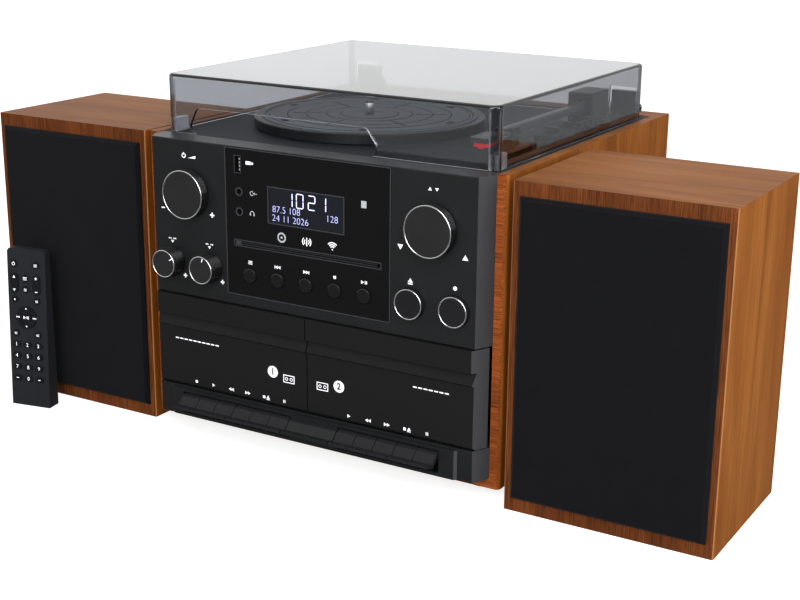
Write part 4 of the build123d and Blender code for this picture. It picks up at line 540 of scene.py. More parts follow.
def smoked_acrylic():
    """Clear smoked cover; its walls take a darker tint and its rounded edges a dark grey, painted shade."""
    acrylic = Finish("smoked_acrylic", linear(232, 233, 236), 0.02, specular=0.6)
    vector = acrylic.place()
    acrylic.set("Transmission Weight", 1.0)
    acrylic.set("IOR", 1.49)
    acrylic.set("Coat Weight", 0.45)
    acrylic.set("Coat IOR", 1.5)
    acrylic.set("Coat Roughness", 0.01)
    haze = acrylic.noise(vector, 160, 5)
    acrylic.rough(haze, 0.0, 0.03)
    tint_shades = [(0.3, linear(232, 234, 237)), (0.7, linear(237, 238, 240))]
    tint = acrylic.ramp(acrylic.noise(vector, 30, 3), tint_shades)
    sizes = acrylic.normal_axes()
    # painted shade: the upright walls get a darker tint than the top, and the rounded edges a dark grey
    on_wall = acrylic.combine("GREATER_THAN", acrylic.combine("MAXIMUM", sizes[0], sizes[1]), FACING)
    painted_wall_shade = acrylic.mix(on_wall, tint, linear(218, 220, 224))
    on_edge = acrylic.on_edges(sizes, COVER_EDGE_FACING)
    acrylic.colour(acrylic.mix(on_edge, painted_wall_shade, linear(118, 121, 128)))
    smoke = acrylic.node("ShaderNodeVolumeAbsorption", Color=linear(150, 153, 160), Density=42.0)
    acrylic.link(smoke.outputs["Volume"], acrylic.tree.nodes["Material Output"].inputs["Volume"])
    acrylic.bump(acrylic.noise(vector, 6, 2), 0.0004, 0.08)
    return acrylic.material


def lit(name, colour, strength):
    """A lit display segment."""
    light = Finish(name, colour, 0.4)
    glow = light.ramp(light.noise(light.place(), 900, 1), [(0.3, 0.85), (0.7, 1.0)])
    light.link(light.mix(1.0, colour, glow, "MULTIPLY"), light.shader.inputs["Emission Color"])
    light.set("Emission Strength", strength)
    return light.material


WALNUT = walnut_foil("walnut_foil")
CABINET_WALNUT = walnut_foil("cabinet_walnut", edge_banding=True)
# painted highlight: the upright bevels of the fascia are a lighter grey
FASCIA = moulded("satin_black", linear(25, 26, 27), 0.36, specular=0.36, bevel_highlight=linear(62, 63, 66))
DECK = moulded("deck_black", linear(42, 43, 46), 0.5, specular=0.05)
PANEL = polished("panel_gloss", linear(19, 19, 20), 0.12, specular=0.08)
PANEL_BUTTON = polished("panel_button_gloss", linear(24, 24, 25), 0.2, specular=0.15)
# painted highlight: the upright bevels at the door ends are a lighter grey
DOOR = polished("door_gloss", linear(28, 28, 29), 0.16, specular=0.12, bevel_highlight=linear(66, 67, 70))
KEYS = polished("key_gloss", linear(36, 36, 38), 0.2, specular=0.15)
KNOB_CAP = moulded("knob_cap", linear(37, 37, 38), 0.3, grain=3200, specular=0.14)
KNOB_SIDE = ringed_plastic("knob_side", linear(14, 14, 16), 0.16, pitch=0.0005)
BUTTON = moulded("button_black", linear(30, 30, 32), 0.28, specular=0.12)
WINDOW = polished("display_glass", linear(30, 31, 36), 0.08, specular=0.08)
CHROME = plain_metal("bright_ring", linear(245, 245, 248), 0.16)
STEEL = plain_metal("plated_steel", linear(170, 172, 176), 0.32, (1, 0.1, 1))
DARK_STEEL = plain_metal("laminations", linear(80, 74, 68), 0.5, (1, 1, 8))
SPINDLE = turned_metal("spindle_steel", linear(235, 236, 240), 0.42, middle("platter"), lines=9000)
BRASS = plain_metal("pulley_brass", linear(196, 160, 92), 0.25)
PLATTER = moulded("platter_black", linear(24, 25, 27), 0.35, specular=0.25)
MAT = moulded("mat_rubber", linear(108, 112, 116), 0.6, grain=1800, depth=0.00006, specular=0.2)
MAT_DARK = moulded("mat_slots", linear(22, 23, 24), 0.7, specular=0.2)
RUBBER = moulded("foot_rubber", linear(24, 24, 24), 0.75, grain=1500, specular=0.2)
BELT = moulded("belt_rubber", linear(20, 20, 20), 0.6)
ARM = moulded("arm_black", linear(22, 23, 25), 0.34, specular=0.2)
ARM_TUBE = moulded("arm_grey", linear(66, 68, 72), 0.3, specular=0.4)
# painted light: the red stylus glows a little
RED = moulded("stylus_red", linear(236, 20, 28), 0.3, glow=0.35)
COVER = smoked_acrylic()
CLOTH = grille_cloth()
CONE = moulded("woofer_cone", linear(34, 33, 32), 0.8, grain=900, depth=0.0001)
REMOTE = moulded("remote_black", linear(34, 35, 38), 0.42, specular=0.16)
REMOTE_KEY = moulded("remote_rubber", linear(20, 20, 24), 0.5, specular=0.15)
BOARD = moulded("circuit_board", linear(34, 92, 52), 0.45, grain=700, patches=0.25)
SOCKET = moulded("socket_black", linear(24, 24, 26), 0.4, specular=0.15)
REAR = moulded("rear_hardboard", linear(46, 40, 36), 0.7, grain=700, depth=0.00008, specular=0.15)
# painted light: the white and grey print glow a little
WHITE = moulded("white_print", linear(236, 236, 240), 0.5, patches=0.03, specular=0.2, glow=0.42)
GREY = moulded("grey_print", linear(168, 170, 174), 0.5, patches=0.03, specular=0.2, glow=0.15)
DIM = moulded("dim_print", linear(58, 58, 60), 0.5, patches=0.03, specular=0.2)
BLACK_PRINT = moulded("black_print", linear(16, 16, 17), 0.5)
LCD = lit("lit_segments", linear(205, 208, 255), 1.3)
LCD_DIM = lit("lit_dots", linear(178, 182, 240), 0.8)
CLEAR = polished("clear_bumper", linear(226, 228, 234), 0.15)
PART_CLEAR = 0.35
CLEAR.node_tree.nodes["Principled BSDF"].inputs["Transmission Weight"].default_value = PART_CLEAR

FINISHES = {
    WALNUT: ["speaker_left_box", "speaker_right_box"],
    CABINET_WALNUT: ["wood_cabinet"],
    FASCIA: ["upper_fascia", "lower_fascia"],
    DECK: ["deck_plate"],
    PANEL: ["display_panel"],
    WINDOW: ["display_window"],
    DOOR: ["cassette_door_1", "cassette_door_2"],
    KEYS: [name for name in NODES if name.endswith("_key")],
    KNOB_SIDE: ["volume_knob", "scroll_knob", "bass_knob", "treble_knob"],
    BUTTON: ["eject_button", "record_button"],
    PANEL_BUTTON: ["info_button", "previous_button", "next_button", "stop_button", "play_button"],
    STEEL: ["cd_drive", "tape_mechanisms", "turntable_motor", "volume_shaft", "scroll_shaft"],
    DARK_STEEL: ["power_transformer"],
    BOARD: ["main_board"],
    BRASS: ["motor_pulley"],
    PLATTER: ["platter"],
    MAT: ["platter_mat"],
    BELT: ["drive_belt"],
    ARM_TUBE: ["tonearm"],
    ARM: ["tonearm_base", "arm_gimbal", "cue_lever", "speed_selector", "lid_hinges"],
    RED: ["cartridge"],
    COVER: ["dust_cover"],
    CLOTH: ["speaker_left_grille", "speaker_right_grille"],
    CONE: ["woofers"],
    REMOTE: ["remote_case"],
    REMOTE_KEY: ["remote_keys"],
    SOCKET: ["front_sockets", "rear_sockets"],
    REAR: ["rear_panel"],
    RUBBER: ["feet"],
}
for finish, names in FINISHES.items():
    for name in names:
        NODES[name].data.materials.clear()
        NODES[name].data.materials.append(finish)
undressed = sorted(set(NODES) - {name for names in FINISHES.values() for name in names})
if undressed:
    raise SystemExit(f"no finish for {undressed}")

# ======== front of the main unit
FACE_Y = -14.5


def on_face(x, z, proud=0.0):
    return facing(at(x, FACE_Y - proud, z))


def front_of(node):
    """Frame on the middle of a node's front."""
    low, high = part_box(node)
    return facing(Vector(((low.x + high.x) / 2, low.y, (low.z + high.z) / 2)))


def body_of(node):
    return NODES[node]["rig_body"]


RING_T, RING_PROUD, RING_STEPS, CAP_PROUD = 1.1, 0.45, 10, 0.06
RING_INSETS = {"bass_knob": 0.9, "treble_knob": 0.9}
CAP_ROOT, RING_ROOT, RING_SINK, CAP_FLAT, CAP_GAP = -0.4, -0.5, 0.05, 0.6, 0.1
BUTTON_FLANGE = 1.4
CONTROL_CAPS = {"volume_knob": KNOB_CAP, "scroll_knob": KNOB_CAP, "bass_knob": KNOB_CAP,
                "treble_knob": KNOB_CAP, "eject_button": BUTTON, "record_button": BUTTON}


def control_radius(node):
    """Radius of a knob or button at its front, without the flange behind the face."""
    low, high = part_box(node)
    flange = BUTTON_FLANGE if node.endswith("button") else 0.0
    return (high.z - low.z) / 2 / MM - flange


for node, cap in CONTROL_CAPS.items():
    place, body = front_of(node), body_of(node)
    radius = control_radius(node) - RING_INSETS.get(node, 0)
    swell = [pi * (1 - i / RING_STEPS) for i in range(RING_STEPS + 1)]
    ring = [(radius - RING_T, RING_ROOT)]
    ring += [(radius - RING_T / 2 + RING_T / 2 * cos(a), RING_PROUD * sin(a) - RING_SINK) for a in swell]
    ring += [(radius, RING_ROOT)]
    lathe(node + "_ring", ring, place, CHROME, body)
    cap_r = radius - RING_T
    face = [(0.0, CAP_ROOT), (0.0, CAP_PROUD), (radius * CAP_FLAT, CAP_PROUD), (cap_r - CAP_GAP, CAP_PROUD),
            (cap_r, CAP_PROUD / 2), (cap_r, CAP_ROOT)]
    lathe(node + "_cap", face, place, cap, body, smooth=False)

# white pointers: the bass control is turned up, the treble control nearly upright
TICK_L, TICK_W = 3.2, 0.7
POINTER_TURNS = {"bass_knob": 60, "treble_knob": 14}
for node, turn in POINTER_TURNS.items():
    spoke = front_of(node) @ Matrix.Rotation(-radians(turn), 4, "Z")
    tick = moved(bar(TICK_W, TICK_L), 0, control_radius(node) - RING_INSETS[node] - RING_T - TICK_L / 2)
    prisms(node + "_tick", [tick], spoke, PRINT_T, WHITE, body_of(node), base=CAP_PROUD)

# name, sign, height, x and z of each printed mark round the knobs and round buttons
FACE_MARKS = (("volume_power", "power", 3.4, -117.2, 238.8), ("volume_wedge", "wedge", 3.4, -109.2, 238.3),
              ("volume_minus", "minus", 3.4, -140.4, 193.2), ("volume_plus", "plus", 4.2, -90.2, 193.0),
              ("scroll_enter", "up", 2.4, 109.6, 238.6), ("scroll_enter_down", "down", 2.4, 115.4, 238.4),
              ("scroll_down", "down", 4.0, 85.0, 191.6), ("scroll_up", "up", 4.0, 139.8, 191.0),
              ("eject_mark", "eject", 3.4, 93.9, 166.4), ("record_mark", "record", 3.2, 131.9, 166.6),
              ("bass_pointer", "down", 2.4, -131.9, 165.6), ("bass_plus", "plus", 3.7, -119.6, 138.6),
              ("treble_pointer", "down", 2.4, -93.9, 165.6), ("treble_plus", "plus", 3.7, -81.6, 138.6))
for name, kind, size, x, z in FACE_MARKS:
    mark(name, kind, size, on_face(x, z), WHITE, "set")
SCALE_DOT, SCALE_DOT_US, SCALE_Z = 1.0, (-3.2, -1.6, 1.6, 3.2), 168.4
for name, x in (("bass", -131.9), ("treble", -93.9)):
    dots = [moved(bar(SCALE_DOT, SCALE_DOT), u, 0) for u in SCALE_DOT_US]
    prisms(name + "_scale", dots, on_face(x, SCALE_Z), PRINT_T, WHITE, "set")

# -------- display panel
def frame_outlines(half_w, bottom, top, width):
    """Four strips just inside a rectangle."""
    outer = rectangle(half_w, bottom, top)
    inner = rectangle(half_w - width, bottom + width, top - width)
    return [[outer[i], outer[j], inner[j], inner[i]] for i, j in ((0, 1), (1, 2), (2, 3), (3, 0))]


# partly painted highlight: the trim strips round the display panel and window are a lighter grey than the
# panel, standing in for light on its bevelled border
TRIM = polished("panel_edge", linear(56, 57, 60), 0.25, specular=0.3)
# name, width and thickness of each edge trim, and how far outside its node it reaches
EDGES = (("panel", 0.8, 0.25, 0), ("window", 0.9, 0.2, 0.9))
for name, width, thickness, margin in EDGES:
    low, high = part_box("display_" + name)
    bottom, top = low.z / MM - margin, high.z / MM + margin
    edge = frame_outlines((high.x - low.x) / 2 / MM + margin, bottom, top, width)
    prisms(name + "_edge", edge, on_face(0, 0), thickness, TRIM, "set")

BUTTON_SIGNS = {"info_button": "menu", "previous_button": "previous", "next_button": "next",
                "stop_button": "stop", "play_button": "play_pause"}
BUTTON_SIGN_H, BUTTON_SIGN_GAP = 2.5, 3.2
# painted highlight: a dim arc along the upper edge of each panel button
GLEAM_INSET, GLEAM_W, GLEAM_T, GLEAM_ANGLES = 1.9, 0.3, 0.05, (60, 160)
for node, kind in BUTTON_SIGNS.items():
    low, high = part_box(node)
    x = ((low.x + high.x) / 2 - MAIN_X) / MM
    mark(node + "_mark", kind, BUTTON_SIGN_H, on_face(x, high.z / MM + BUTTON_SIGN_GAP), WHITE, "set")
    arc = [arc_strip((high.x - low.x) / 2 / MM - GLEAM_INSET, GLEAM_W, *GLEAM_ANGLES)]
    prisms(node + "_glint", arc, front_of(node), GLEAM_T, DIM, body_of(node))
# name, sign, height, x, z and ink of each mark on the panel
PANEL_MARKS = (("line_in", "line_in", 3.2, -50.5, 215.6, GREY),
               ("phones", "headphones", 3.2, -50.5, 199.4, GREY),
               ("memory", "memory", 3.4, -52.5, 239.5, WHITE), ("disc", "disc", 6.2, -22.6, 183.8, GREY),
               ("radio", "radio", 5.6, 1.0, 183.6, WHITE), ("wireless", "wireless", 5.2, 24.6, 183.4, WHITE))
for name, kind, size, x, z, ink in PANEL_MARKS:
    mark(name + "_mark", kind, size, on_face(x, z), ink, "set")
SENSOR_W, SENSOR_H, SENSOR_X, SENSOR_Z, SENSOR_T = 4.6, 5.4, 53.0, 219.7, 0.15
prisms("infrared_window", [bar(SENSOR_W, SENSOR_H)], on_face(SENSOR_X, SENSOR_Z), SENSOR_T, GREY, "set")

# lit display: the time, and two rows of small figures
TIME_TEXT, TIME_H, TIME_W, TIME_STROKE = "1021", 11.0, 6.2, 0.7
TIME_XS, TIME_Y, SEGMENT_T = (-15.6, -5.4, 5.6, 15.4), 6.2, 0.12
display = front_of("display_window")
for i, digit in enumerate(TIME_TEXT):
    outlines = [moved(o, TIME_XS[i], TIME_Y) for o in segment_digit(digit, TIME_W, TIME_H, TIME_STROKE)]
    prisms(f"time_digit_{i}", outlines, display, SEGMENT_T, LCD, "set")
ROW_SIZE, ROW_THINNING = 7.6, -0.16
DISPLAY_ROWS = (("frequency", "87.5 108", -18.2, -3.0), ("channel", "128", 24.2, -4.4),
                ("date", "24 11 2026", -14.6, -10.0))
for name, text, u, v in DISPLAY_ROWS:
    number("display_" + name, text, ROW_SIZE, shifted(display, u, v), LCD_DIM, "set", weight=ROW_THINNING)

# -------- sockets in the panel
JACK_HEIGHTS = {"line_in": 215.6, "phones": 199.4}
JACK_X = -63.0
# outer radius, bore radius, back and front of each ring round a socket
JACK_COLLAR, JACK_CONTACT = (3.5, 2.5, -0.2, 0.4), (2.4, 1.85, -0.6, -0.2)
LINE_COLLAR, LINE_CONTACT = (4.4, 3.3, -0.1, 0.5), (3.1, 1.7, -4.0, -0.6)
AERIAL_COLLAR, TERMINAL_COLLAR = (4.6, 3.3, -0.1, 0.5), (2.2, 1.4, -0.1, 0.5)
for name, z in JACK_HEIGHTS.items():
    band(name + "_collar", *JACK_COLLAR, on_face(JACK_X, z), DIM, "set")
    band(name + "_contact", *JACK_CONTACT, on_face(JACK_X, z), DIM, "set")
USB_X, USB_Z, USB_HALF_W, USB_HALF_H, USB_SHELL_W, USB_SHELL_T = -64.0, 237.5, 3.4, 7.2, 0.6, 0.12
usb = on_face(USB_X, USB_Z)
usb_shell = frame_outlines(USB_HALF_W, -USB_HALF_H, USB_HALF_H, USB_SHELL_W)
prisms("usb_shell", usb_shell, usb, USB_SHELL_T, TRIM, "set")
CONTACT_U, CONTACT_T, CONTACT_SUNK = 1.4, 0.25, 1.0
usb_contacts = [moved(bar(0.7, 1.5), CONTACT_U, v) for v in (-4.2, -1.4, 1.4, 4.2)]
prisms("usb_contacts", usb_contacts, usb, CONTACT_T, GREY, "set", base=-CONTACT_SUNK)

# -------- disc slot: dust lips and a frame round it
SLOT_Z, SLOT_W, SLOT_FRAME_H = 174.0, 134.0, 5.6
SLOT_LIP = moulded("slot_lip", linear(38, 38, 40), 0.6, grain=1500, specular=0.2)
LIP_OFFSET, LIP_H, LIP_T, LIP_SUNK, LIP_SHORTER = 0.85, 0.9, 0.8, 1.2, 4.0
SLOT_FRAME_MARGIN, SLOT_FRAME_W, SLOT_FRAME_T = 1.6, 0.7, 0.25
SLOT_END_W, SLOT_END_H, SLOT_END_INSET, SLOT_END_T = 4.6, 3.4, 2.6, 0.15
for side, z in (("upper", SLOT_Z + LIP_OFFSET), ("lower", SLOT_Z - LIP_OFFSET)):
    lip_place = facing(at(0, FACE_Y + LIP_SUNK, z))
    prisms(f"dust_lip_{side}", [bar(SLOT_W - LIP_SHORTER, LIP_H)], lip_place, LIP_T, SLOT_LIP, "set")
slot_frame = frame_outlines(SLOT_W / 2 + SLOT_FRAME_MARGIN, -SLOT_FRAME_H / 2, SLOT_FRAME_H / 2, SLOT_FRAME_W)
prisms("slot_frame", slot_frame, on_face(0, SLOT_Z), SLOT_FRAME_T, TRIM, "set")
slot_end = moved(bar(SLOT_END_W, SLOT_END_H), -SLOT_W / 2 + SLOT_END_INSET, 0)
prisms("slot_end", [slot_end], on_face(0, SLOT_Z), SLOT_END_T, DIM, "set")

# ======== cassette decks
BADGE_R, BADGE_STEPS, BADGE_NUMBER_H, BADGE_WEIGHT = 4.9, 40, 7.6, 0.22
for digit, x, z in (("1", -33.3, 70.9), ("2", 30.1, 70.4)):
    body = f"door_{digit}"
    prisms(f"deck_badge_{digit}", [disc(BADGE_R, BADGE_STEPS)], on_face(x, z), PRINT_T, WHITE, body)
    number(f"deck_number_{digit}", digit, BADGE_NUMBER_H, on_face(x, z, PRINT_T), BLACK_PRINT, body,
           weight=BADGE_WEIGHT)
LEFT_SIGNS = ["record", "play", "rewind", "forward", "stop_eject", "pause"]
LEFT_SIGN_X = [-111.5, -93.7, -75.6, -58.8, -40.2, -22.4]
RIGHT_SIGN_X = [39.4, 57.0, 74.3, 92.3, 110.0]
SIGN_Z, SIGN_H = 47.6, 2.6
for i, (kind, x) in enumerate(zip(LEFT_SIGNS, LEFT_SIGN_X)):
    mark(f"left_sign_{i}", kind, SIGN_H, on_face(x, SIGN_Z), WHITE, "door_1")
for i, (kind, x) in enumerate(zip(LEFT_SIGNS[1:], RIGHT_SIGN_X)):
    mark(f"right_sign_{i}", kind, SIGN_H, on_face(x, SIGN_Z), WHITE, "door_2")


def cassette_outlines(size):
    """Small picture of a cassette: a frame and two reels."""
    strips = frame_outlines(size, -size * 0.62, size * 0.62, size * 0.13)
    reels = [moved(arc_strip(size * 0.22, size * 0.1, start, start + 175, 10), side * size * 0.42, 0)
             for side in (-1, 1) for start in (0, 180)]
    return strips + reels


PICTURE_SIZE, PICTURE_Z = 5.4, 67.4
for i, x in ((1, -17.6), (2, 14.6)):
    picture = cassette_outlines(PICTURE_SIZE)
    prisms(f"cassette_picture_{i}", picture, on_face(x, PICTURE_Z), PRINT_T, WHITE, f"door_{i}")
DASH_L, DASH_H, DASH_PITCH = 3.4, 1.0, 4.6
for name, x, z, count, body in (("left", -130.5, 83.0, 10, "door_1"), ("right", 99.0, 83.5, 7, "door_2")):
    dashes = [moved(bar(DASH_L, DASH_H), i * DASH_PITCH, 0) for i in range(count)]
    prisms(f"printed_line_{name}", dashes, on_face(x, z), PRINT_T, WHITE, body)

# ======== record deck
platter_axis = middle("platter")
mat_low, mat_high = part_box("platter_mat")
MAT_R = (mat_high.x - mat_low.x) / 2 / MM
mat_top = lying(Vector((platter_axis.x, platter_axis.y, mat_high.z)))
# outer radius, inner radius and height of each raised ring
MAT_RINGS = ((MAT_R, MAT_R - 3.2, 0.5), (MAT_R - 7, MAT_R - 8.2, 0.25), (69, 67.6, 0.3), (53, 51.8, 0.25),
             (36, 34.6, 0.3), (24, 12, 0.35))
RING_EDGE, GROOVE_W, GROOVE_T, GROOVE_EDGE = 0.1, 1.0, 0.14, 0.05
GROOVE_RADII = (MAT_R - 3.2, MAT_R - 6.2, 70, 54, 37, 25)
for i, (outer, inner, height) in enumerate(MAT_RINGS):
    band(f"mat_ring_{i}", outer, inner, 0, height, mat_top, MAT, "turntable", edge=RING_EDGE)
for i, radius in enumerate(GROOVE_RADII):
    band(f"mat_groove_{i}", radius, radius - GROOVE_W, 0, GROOVE_T, mat_top, MAT_DARK, "turntable",
         edge=GROOVE_EDGE)
SLIT_COUNT, SLIT_L, SLIT_W, SLIT_R = 6, 27.0, 1.6, 52.0
PAD_COUNT, PAD_R, PAD_SHAPE, PAD_PLACE_R = 6, 4.6, (0.62, 1.15), 79.0
PATTERN_TURN, PATTERN_T = 0.5, 0.12
for i in range(SLIT_COUNT):
    spoke = mat_top @ Matrix.Rotation(2 * pi * i / SLIT_COUNT + PATTERN_TURN, 4, "Z")
    prisms(f"mat_slit_{i}", [moved(bar(SLIT_L, SLIT_W), SLIT_R, 0)], spoke, PATTERN_T, MAT_DARK, "turntable")
for i in range(PAD_COUNT):
    spoke = mat_top @ Matrix.Rotation(2 * pi * (i + 0.5) / PAD_COUNT + PATTERN_TURN, 4, "Z")
    pad = [(x * PAD_SHAPE[0], y * PAD_SHAPE[1]) for x, y in disc(PAD_R)]
    prisms(f"mat_pad_{i}", [moved(pad, PAD_PLACE_R, 0)], spoke, PATTERN_T, MAT_DARK, "turntable")
SPINDLE_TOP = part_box("platter")[1].z / MM
spindle = lying(Vector((platter_axis.x, platter_axis.y, 0)))
SLEEVE_R, SLEEVE_BORE_R = 3.66, 3.3
SLEEVE_END = ((SLEEVE_R, -1.5), (2.9, -0.35), (1.6, 0.05), (1.4, -0.2))
sleeve = [(SLEEVE_R, mat_high.z / MM)] + [(radius, SPINDLE_TOP + rise) for radius, rise in SLEEVE_END]
sleeve += [(SLEEVE_BORE_R, mat_high.z / MM)]
lathe("spindle_sleeve", sleeve, spindle, SPINDLE, "turntable")

# ======== cover
cover_low, cover_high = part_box("dust_cover")
COVER_T, COVER_R = 2.5, 8.0
BUMPER_W, BUMPER_L, BUMPER_H, BUMPER_CUT, BUMPER_SIDE_GAP, BUMPER_FRONT_GAP = 6.0, 16.0, 11.0, 1.5, 0.3, 1.5
BUMPER = [(0, 0), (BUMPER_W, 0), (BUMPER_W, BUMPER_L - BUMPER_CUT), (BUMPER_W - BUMPER_CUT, BUMPER_L),
          (BUMPER_CUT, BUMPER_L), (0, BUMPER_L - BUMPER_CUT)]
bumper_y = cover_low.y + (COVER_T + BUMPER_FRONT_GAP) * MM
bumper_xs = (("left", cover_low.x + (COVER_T + BUMPER_SIDE_GAP) * MM),
             ("right", cover_high.x - (COVER_T + BUMPER_SIDE_GAP + BUMPER_W) * MM))
for side, x in bumper_xs:
    prisms(f"bumper_{side}", [BUMPER], lying(Vector((x, bumper_y, cover_low.z))), BUMPER_H, CLEAR, "cover")

# painted highlights: pale strips inside the rounded front corners of the acrylic stand in for the light
# gathered there
GLINT_W, GLINT_GAP, GLINT_FOOT = 0.9, 0.15, 3.0
GLINT = polished("corner_glint", linear(196, 199, 208), 0.1)
GLINT.node_tree.nodes["Principled BSDF"].inputs["Transmission Weight"].default_value = PART_CLEAR
glint_h = (cover_high.z - cover_low.z) / MM - COVER_T - 2 * GLINT_FOOT
glint_inset = COVER_T + GLINT_GAP + GLINT_W / 2
for side, x, inward in (("left", cover_low.x, 1), ("right", cover_high.x, -1)):
    for edge, across, deep in (("side", glint_inset, COVER_R), ("front", COVER_R, glint_inset)):
        spot = Vector((x + inward * across * MM, cover_low.y + deep * MM, cover_low.z + GLINT_FOOT * MM))
        prisms(f"corner_glint_{side}_{edge}", [disc(GLINT_W / 2, 4)], lying(spot), glint_h, GLINT, "cover")

# ======== tone arm
ARM_X, HEADSHELL_Y, HEADSHELL_W = 126.0, 45.0, 15.0
HEADSHELL_HALF_L, SHELL_SCREW_V, LIFT_INSET, LIFT_T = 8.0, 6.0, 3.5, 0.8
SHELL_SCREW = [(0, 0), (0, 0.5), (0.9, 0.5), (1.4, 0.3), (1.5, 0)]
shell_end = at(0, HEADSHELL_Y + HEADSHELL_HALF_L, 0).y
shell_top = max(v.co.z for v in NODES["tonearm"].data.vertices if v.co.y < shell_end) / MM
shell = lying(at(ARM_X, HEADSHELL_Y, shell_top))
for i, v in enumerate((-SHELL_SCREW_V, SHELL_SCREW_V)):
    lathe(f"headshell_screw_{i}", SHELL_SCREW, shifted(shell, 0, v), STEEL, "arm")
FINGER_LIFT = [(0, -2.2), (9.0, -1.6), (11.5, -1.2), (12.5, 0), (11.5, 1.2), (9.0, 1.6), (0, 2.2)]
finger_lift = moved(FINGER_LIFT, HEADSHELL_W / 2 - LIFT_INSET, -SHELL_SCREW_V)
prisms("finger_lift", [finger_lift], shell, LIFT_T, ARM_TUBE, "arm")

# ======== back
CABINET_BACK_Y = cabinet_high.y / MM
panel_low, panel_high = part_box("rear_panel")
BACK_HALF_W = (panel_high.x - panel_low.x) / 2 / MM
SOCKET_BACK_Y = CABINET_BACK_Y - 1.0


def on_back(x, y, z):
    """Frame on a face that looks backwards. Here y is millimetres from the frame's own origin."""
    return facing(Vector((MAIN_X + x * MM, y * MM, z * MM)), pi)


PLUG_RED = polished("terminal_red", linear(176, 26, 24), 0.3)
PLUG_WHITE = polished("terminal_white", linear(214, 214, 210), 0.3)
LINE_INSETS = (("right", 44.0, PLUG_RED), ("left", 60.0, PLUG_WHITE))
LINE_HEIGHTS = (("in", 44.0), ("out", 62.0))
for side, inset, finish in LINE_INSETS:
    for row, z in LINE_HEIGHTS:
        place = on_back(BACK_HALF_W - inset, SOCKET_BACK_Y, z)
        band(f"line_collar_{side}_{row}", *LINE_COLLAR, place, finish, "set")
        band(f"line_contact_{side}_{row}", *LINE_CONTACT, place, STEEL, "set")
AERIAL_INSET, AERIAL_Z = 36.0, 206.0
aerial = on_back(BACK_HALF_W - AERIAL_INSET, SOCKET_BACK_Y, AERIAL_Z)
band("aerial_collar", *AERIAL_COLLAR, aerial, STEEL, "set")
TAB = [(-6.6, -5.0), (6.6, -5.0), (7.4, -4.2), (7.4, 4.2), (6.6, 5.0), (-6.6, 5.0), (-7.4, 4.2), (-7.4, -4.2)]
TAB_SPACING, TAB_T, TAB_RISE, SPEAKER_PLATE_T = 25.0, 0.6, 8.0, 4.0
UNIT_TERMINAL_XS, UNIT_TERMINAL_Z, SPEAKER_TERMINAL_Z = (-20.0, 40.0), 52.0, 60.0
terminals = [(f"unit_{i}", on_back(x, SOCKET_BACK_Y, UNIT_TERMINAL_Z + TAB_RISE))
             for i, x in enumerate(UNIT_TERMINAL_XS)]
for side in ("left", "right"):
    low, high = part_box(f"speaker_{side}_box")
    height = (SPEAKER_TERMINAL_Z + TAB_RISE) * MM
    origin = Vector(((low.x + high.x) / 2, high.y + SPEAKER_PLATE_T * MM, height))
    terminals.append((f"speaker_{side}", facing(origin, pi)))
for name, place in terminals:
    for colour, u, finish in (("red", TAB_SPACING / 2, PLUG_RED), ("black", -TAB_SPACING / 2, SOCKET)):
        prisms(f"terminal_{name}_{colour}", [moved(TAB, u, 0)], place, TAB_T, finish, "set")
        hole = shifted(place, u, -2 * TAB_RISE)
        band(f"terminal_hole_{name}_{colour}", *TERMINAL_COLLAR, hole, STEEL, "set")
PANEL_BACK_Y, SCREW_MARGIN = CABINET_BACK_Y - 4.0, 6.0
BACK_SCREW = [(0, 0), (0, 1.1), (1.6, 1.0), (2.8, 0.5), (3.2, 0)]
CROSS, CROSS_BASE = plus(3.0, 0.6), 1.05
for i, x in enumerate((-BACK_HALF_W + SCREW_MARGIN, BACK_HALF_W - SCREW_MARGIN)):
    for j, z in enumerate((panel_low.z / MM + SCREW_MARGIN, panel_high.z / MM - SCREW_MARGIN)):
        screw = on_back(x, PANEL_BACK_Y, z)
        lathe(f"back_screw_{i}{j}", BACK_SCREW, screw, STEEL, "set")
        prisms(f"back_screw_slot_{i}{j}", [CROSS], screw, PRINT_T, BLACK_PRINT, "set", base=CROSS_BASE)

# ======== remote control
REMOTE_X, REMOTE_Y, REMOTE_YAW = -279.1, -39.45, radians(11.05)
REMOTE_LEAN = radians(2.82)
remote_face = facing(at(REMOTE_X, REMOTE_Y, 0), REMOTE_YAW, REMOTE_LEAN)
outward = remote_face.to_3x3() @ Vector((0, 0, 1))
key_front = max((v.co - remote_face.translation).dot(outward) for v in NODES["remote_keys"].data.vertices)
key_tops = remote_face @ Matrix.Translation((0, 0, key_front))
KEY_FIRST_V, KEY_ROW_PITCH, KEY_DIGIT_H = 25.1, 10.3, 4.6
KEY_COLUMNS = (-12.0, -1.0, 10.0)


def key_mark(name, kind, size, u, v):
    mark("remote_" + name, kind, size, shifted(key_tops, u, v), WHITE, "set")


# digit, column and row from the bottom of each number key
NUMBER_KEYS = [(str(3 * i + column + 1), column, 3 - i) for i in range(3) for column in range(3)]
for digit, column, row in NUMBER_KEYS + [("0", 1, 0)]:
    spot = shifted(key_tops, KEY_COLUMNS[column], KEY_FIRST_V + row * KEY_ROW_PITCH)
    number("remote_digit_" + digit, digit, KEY_DIGIT_H, spot, WHITE, "set")
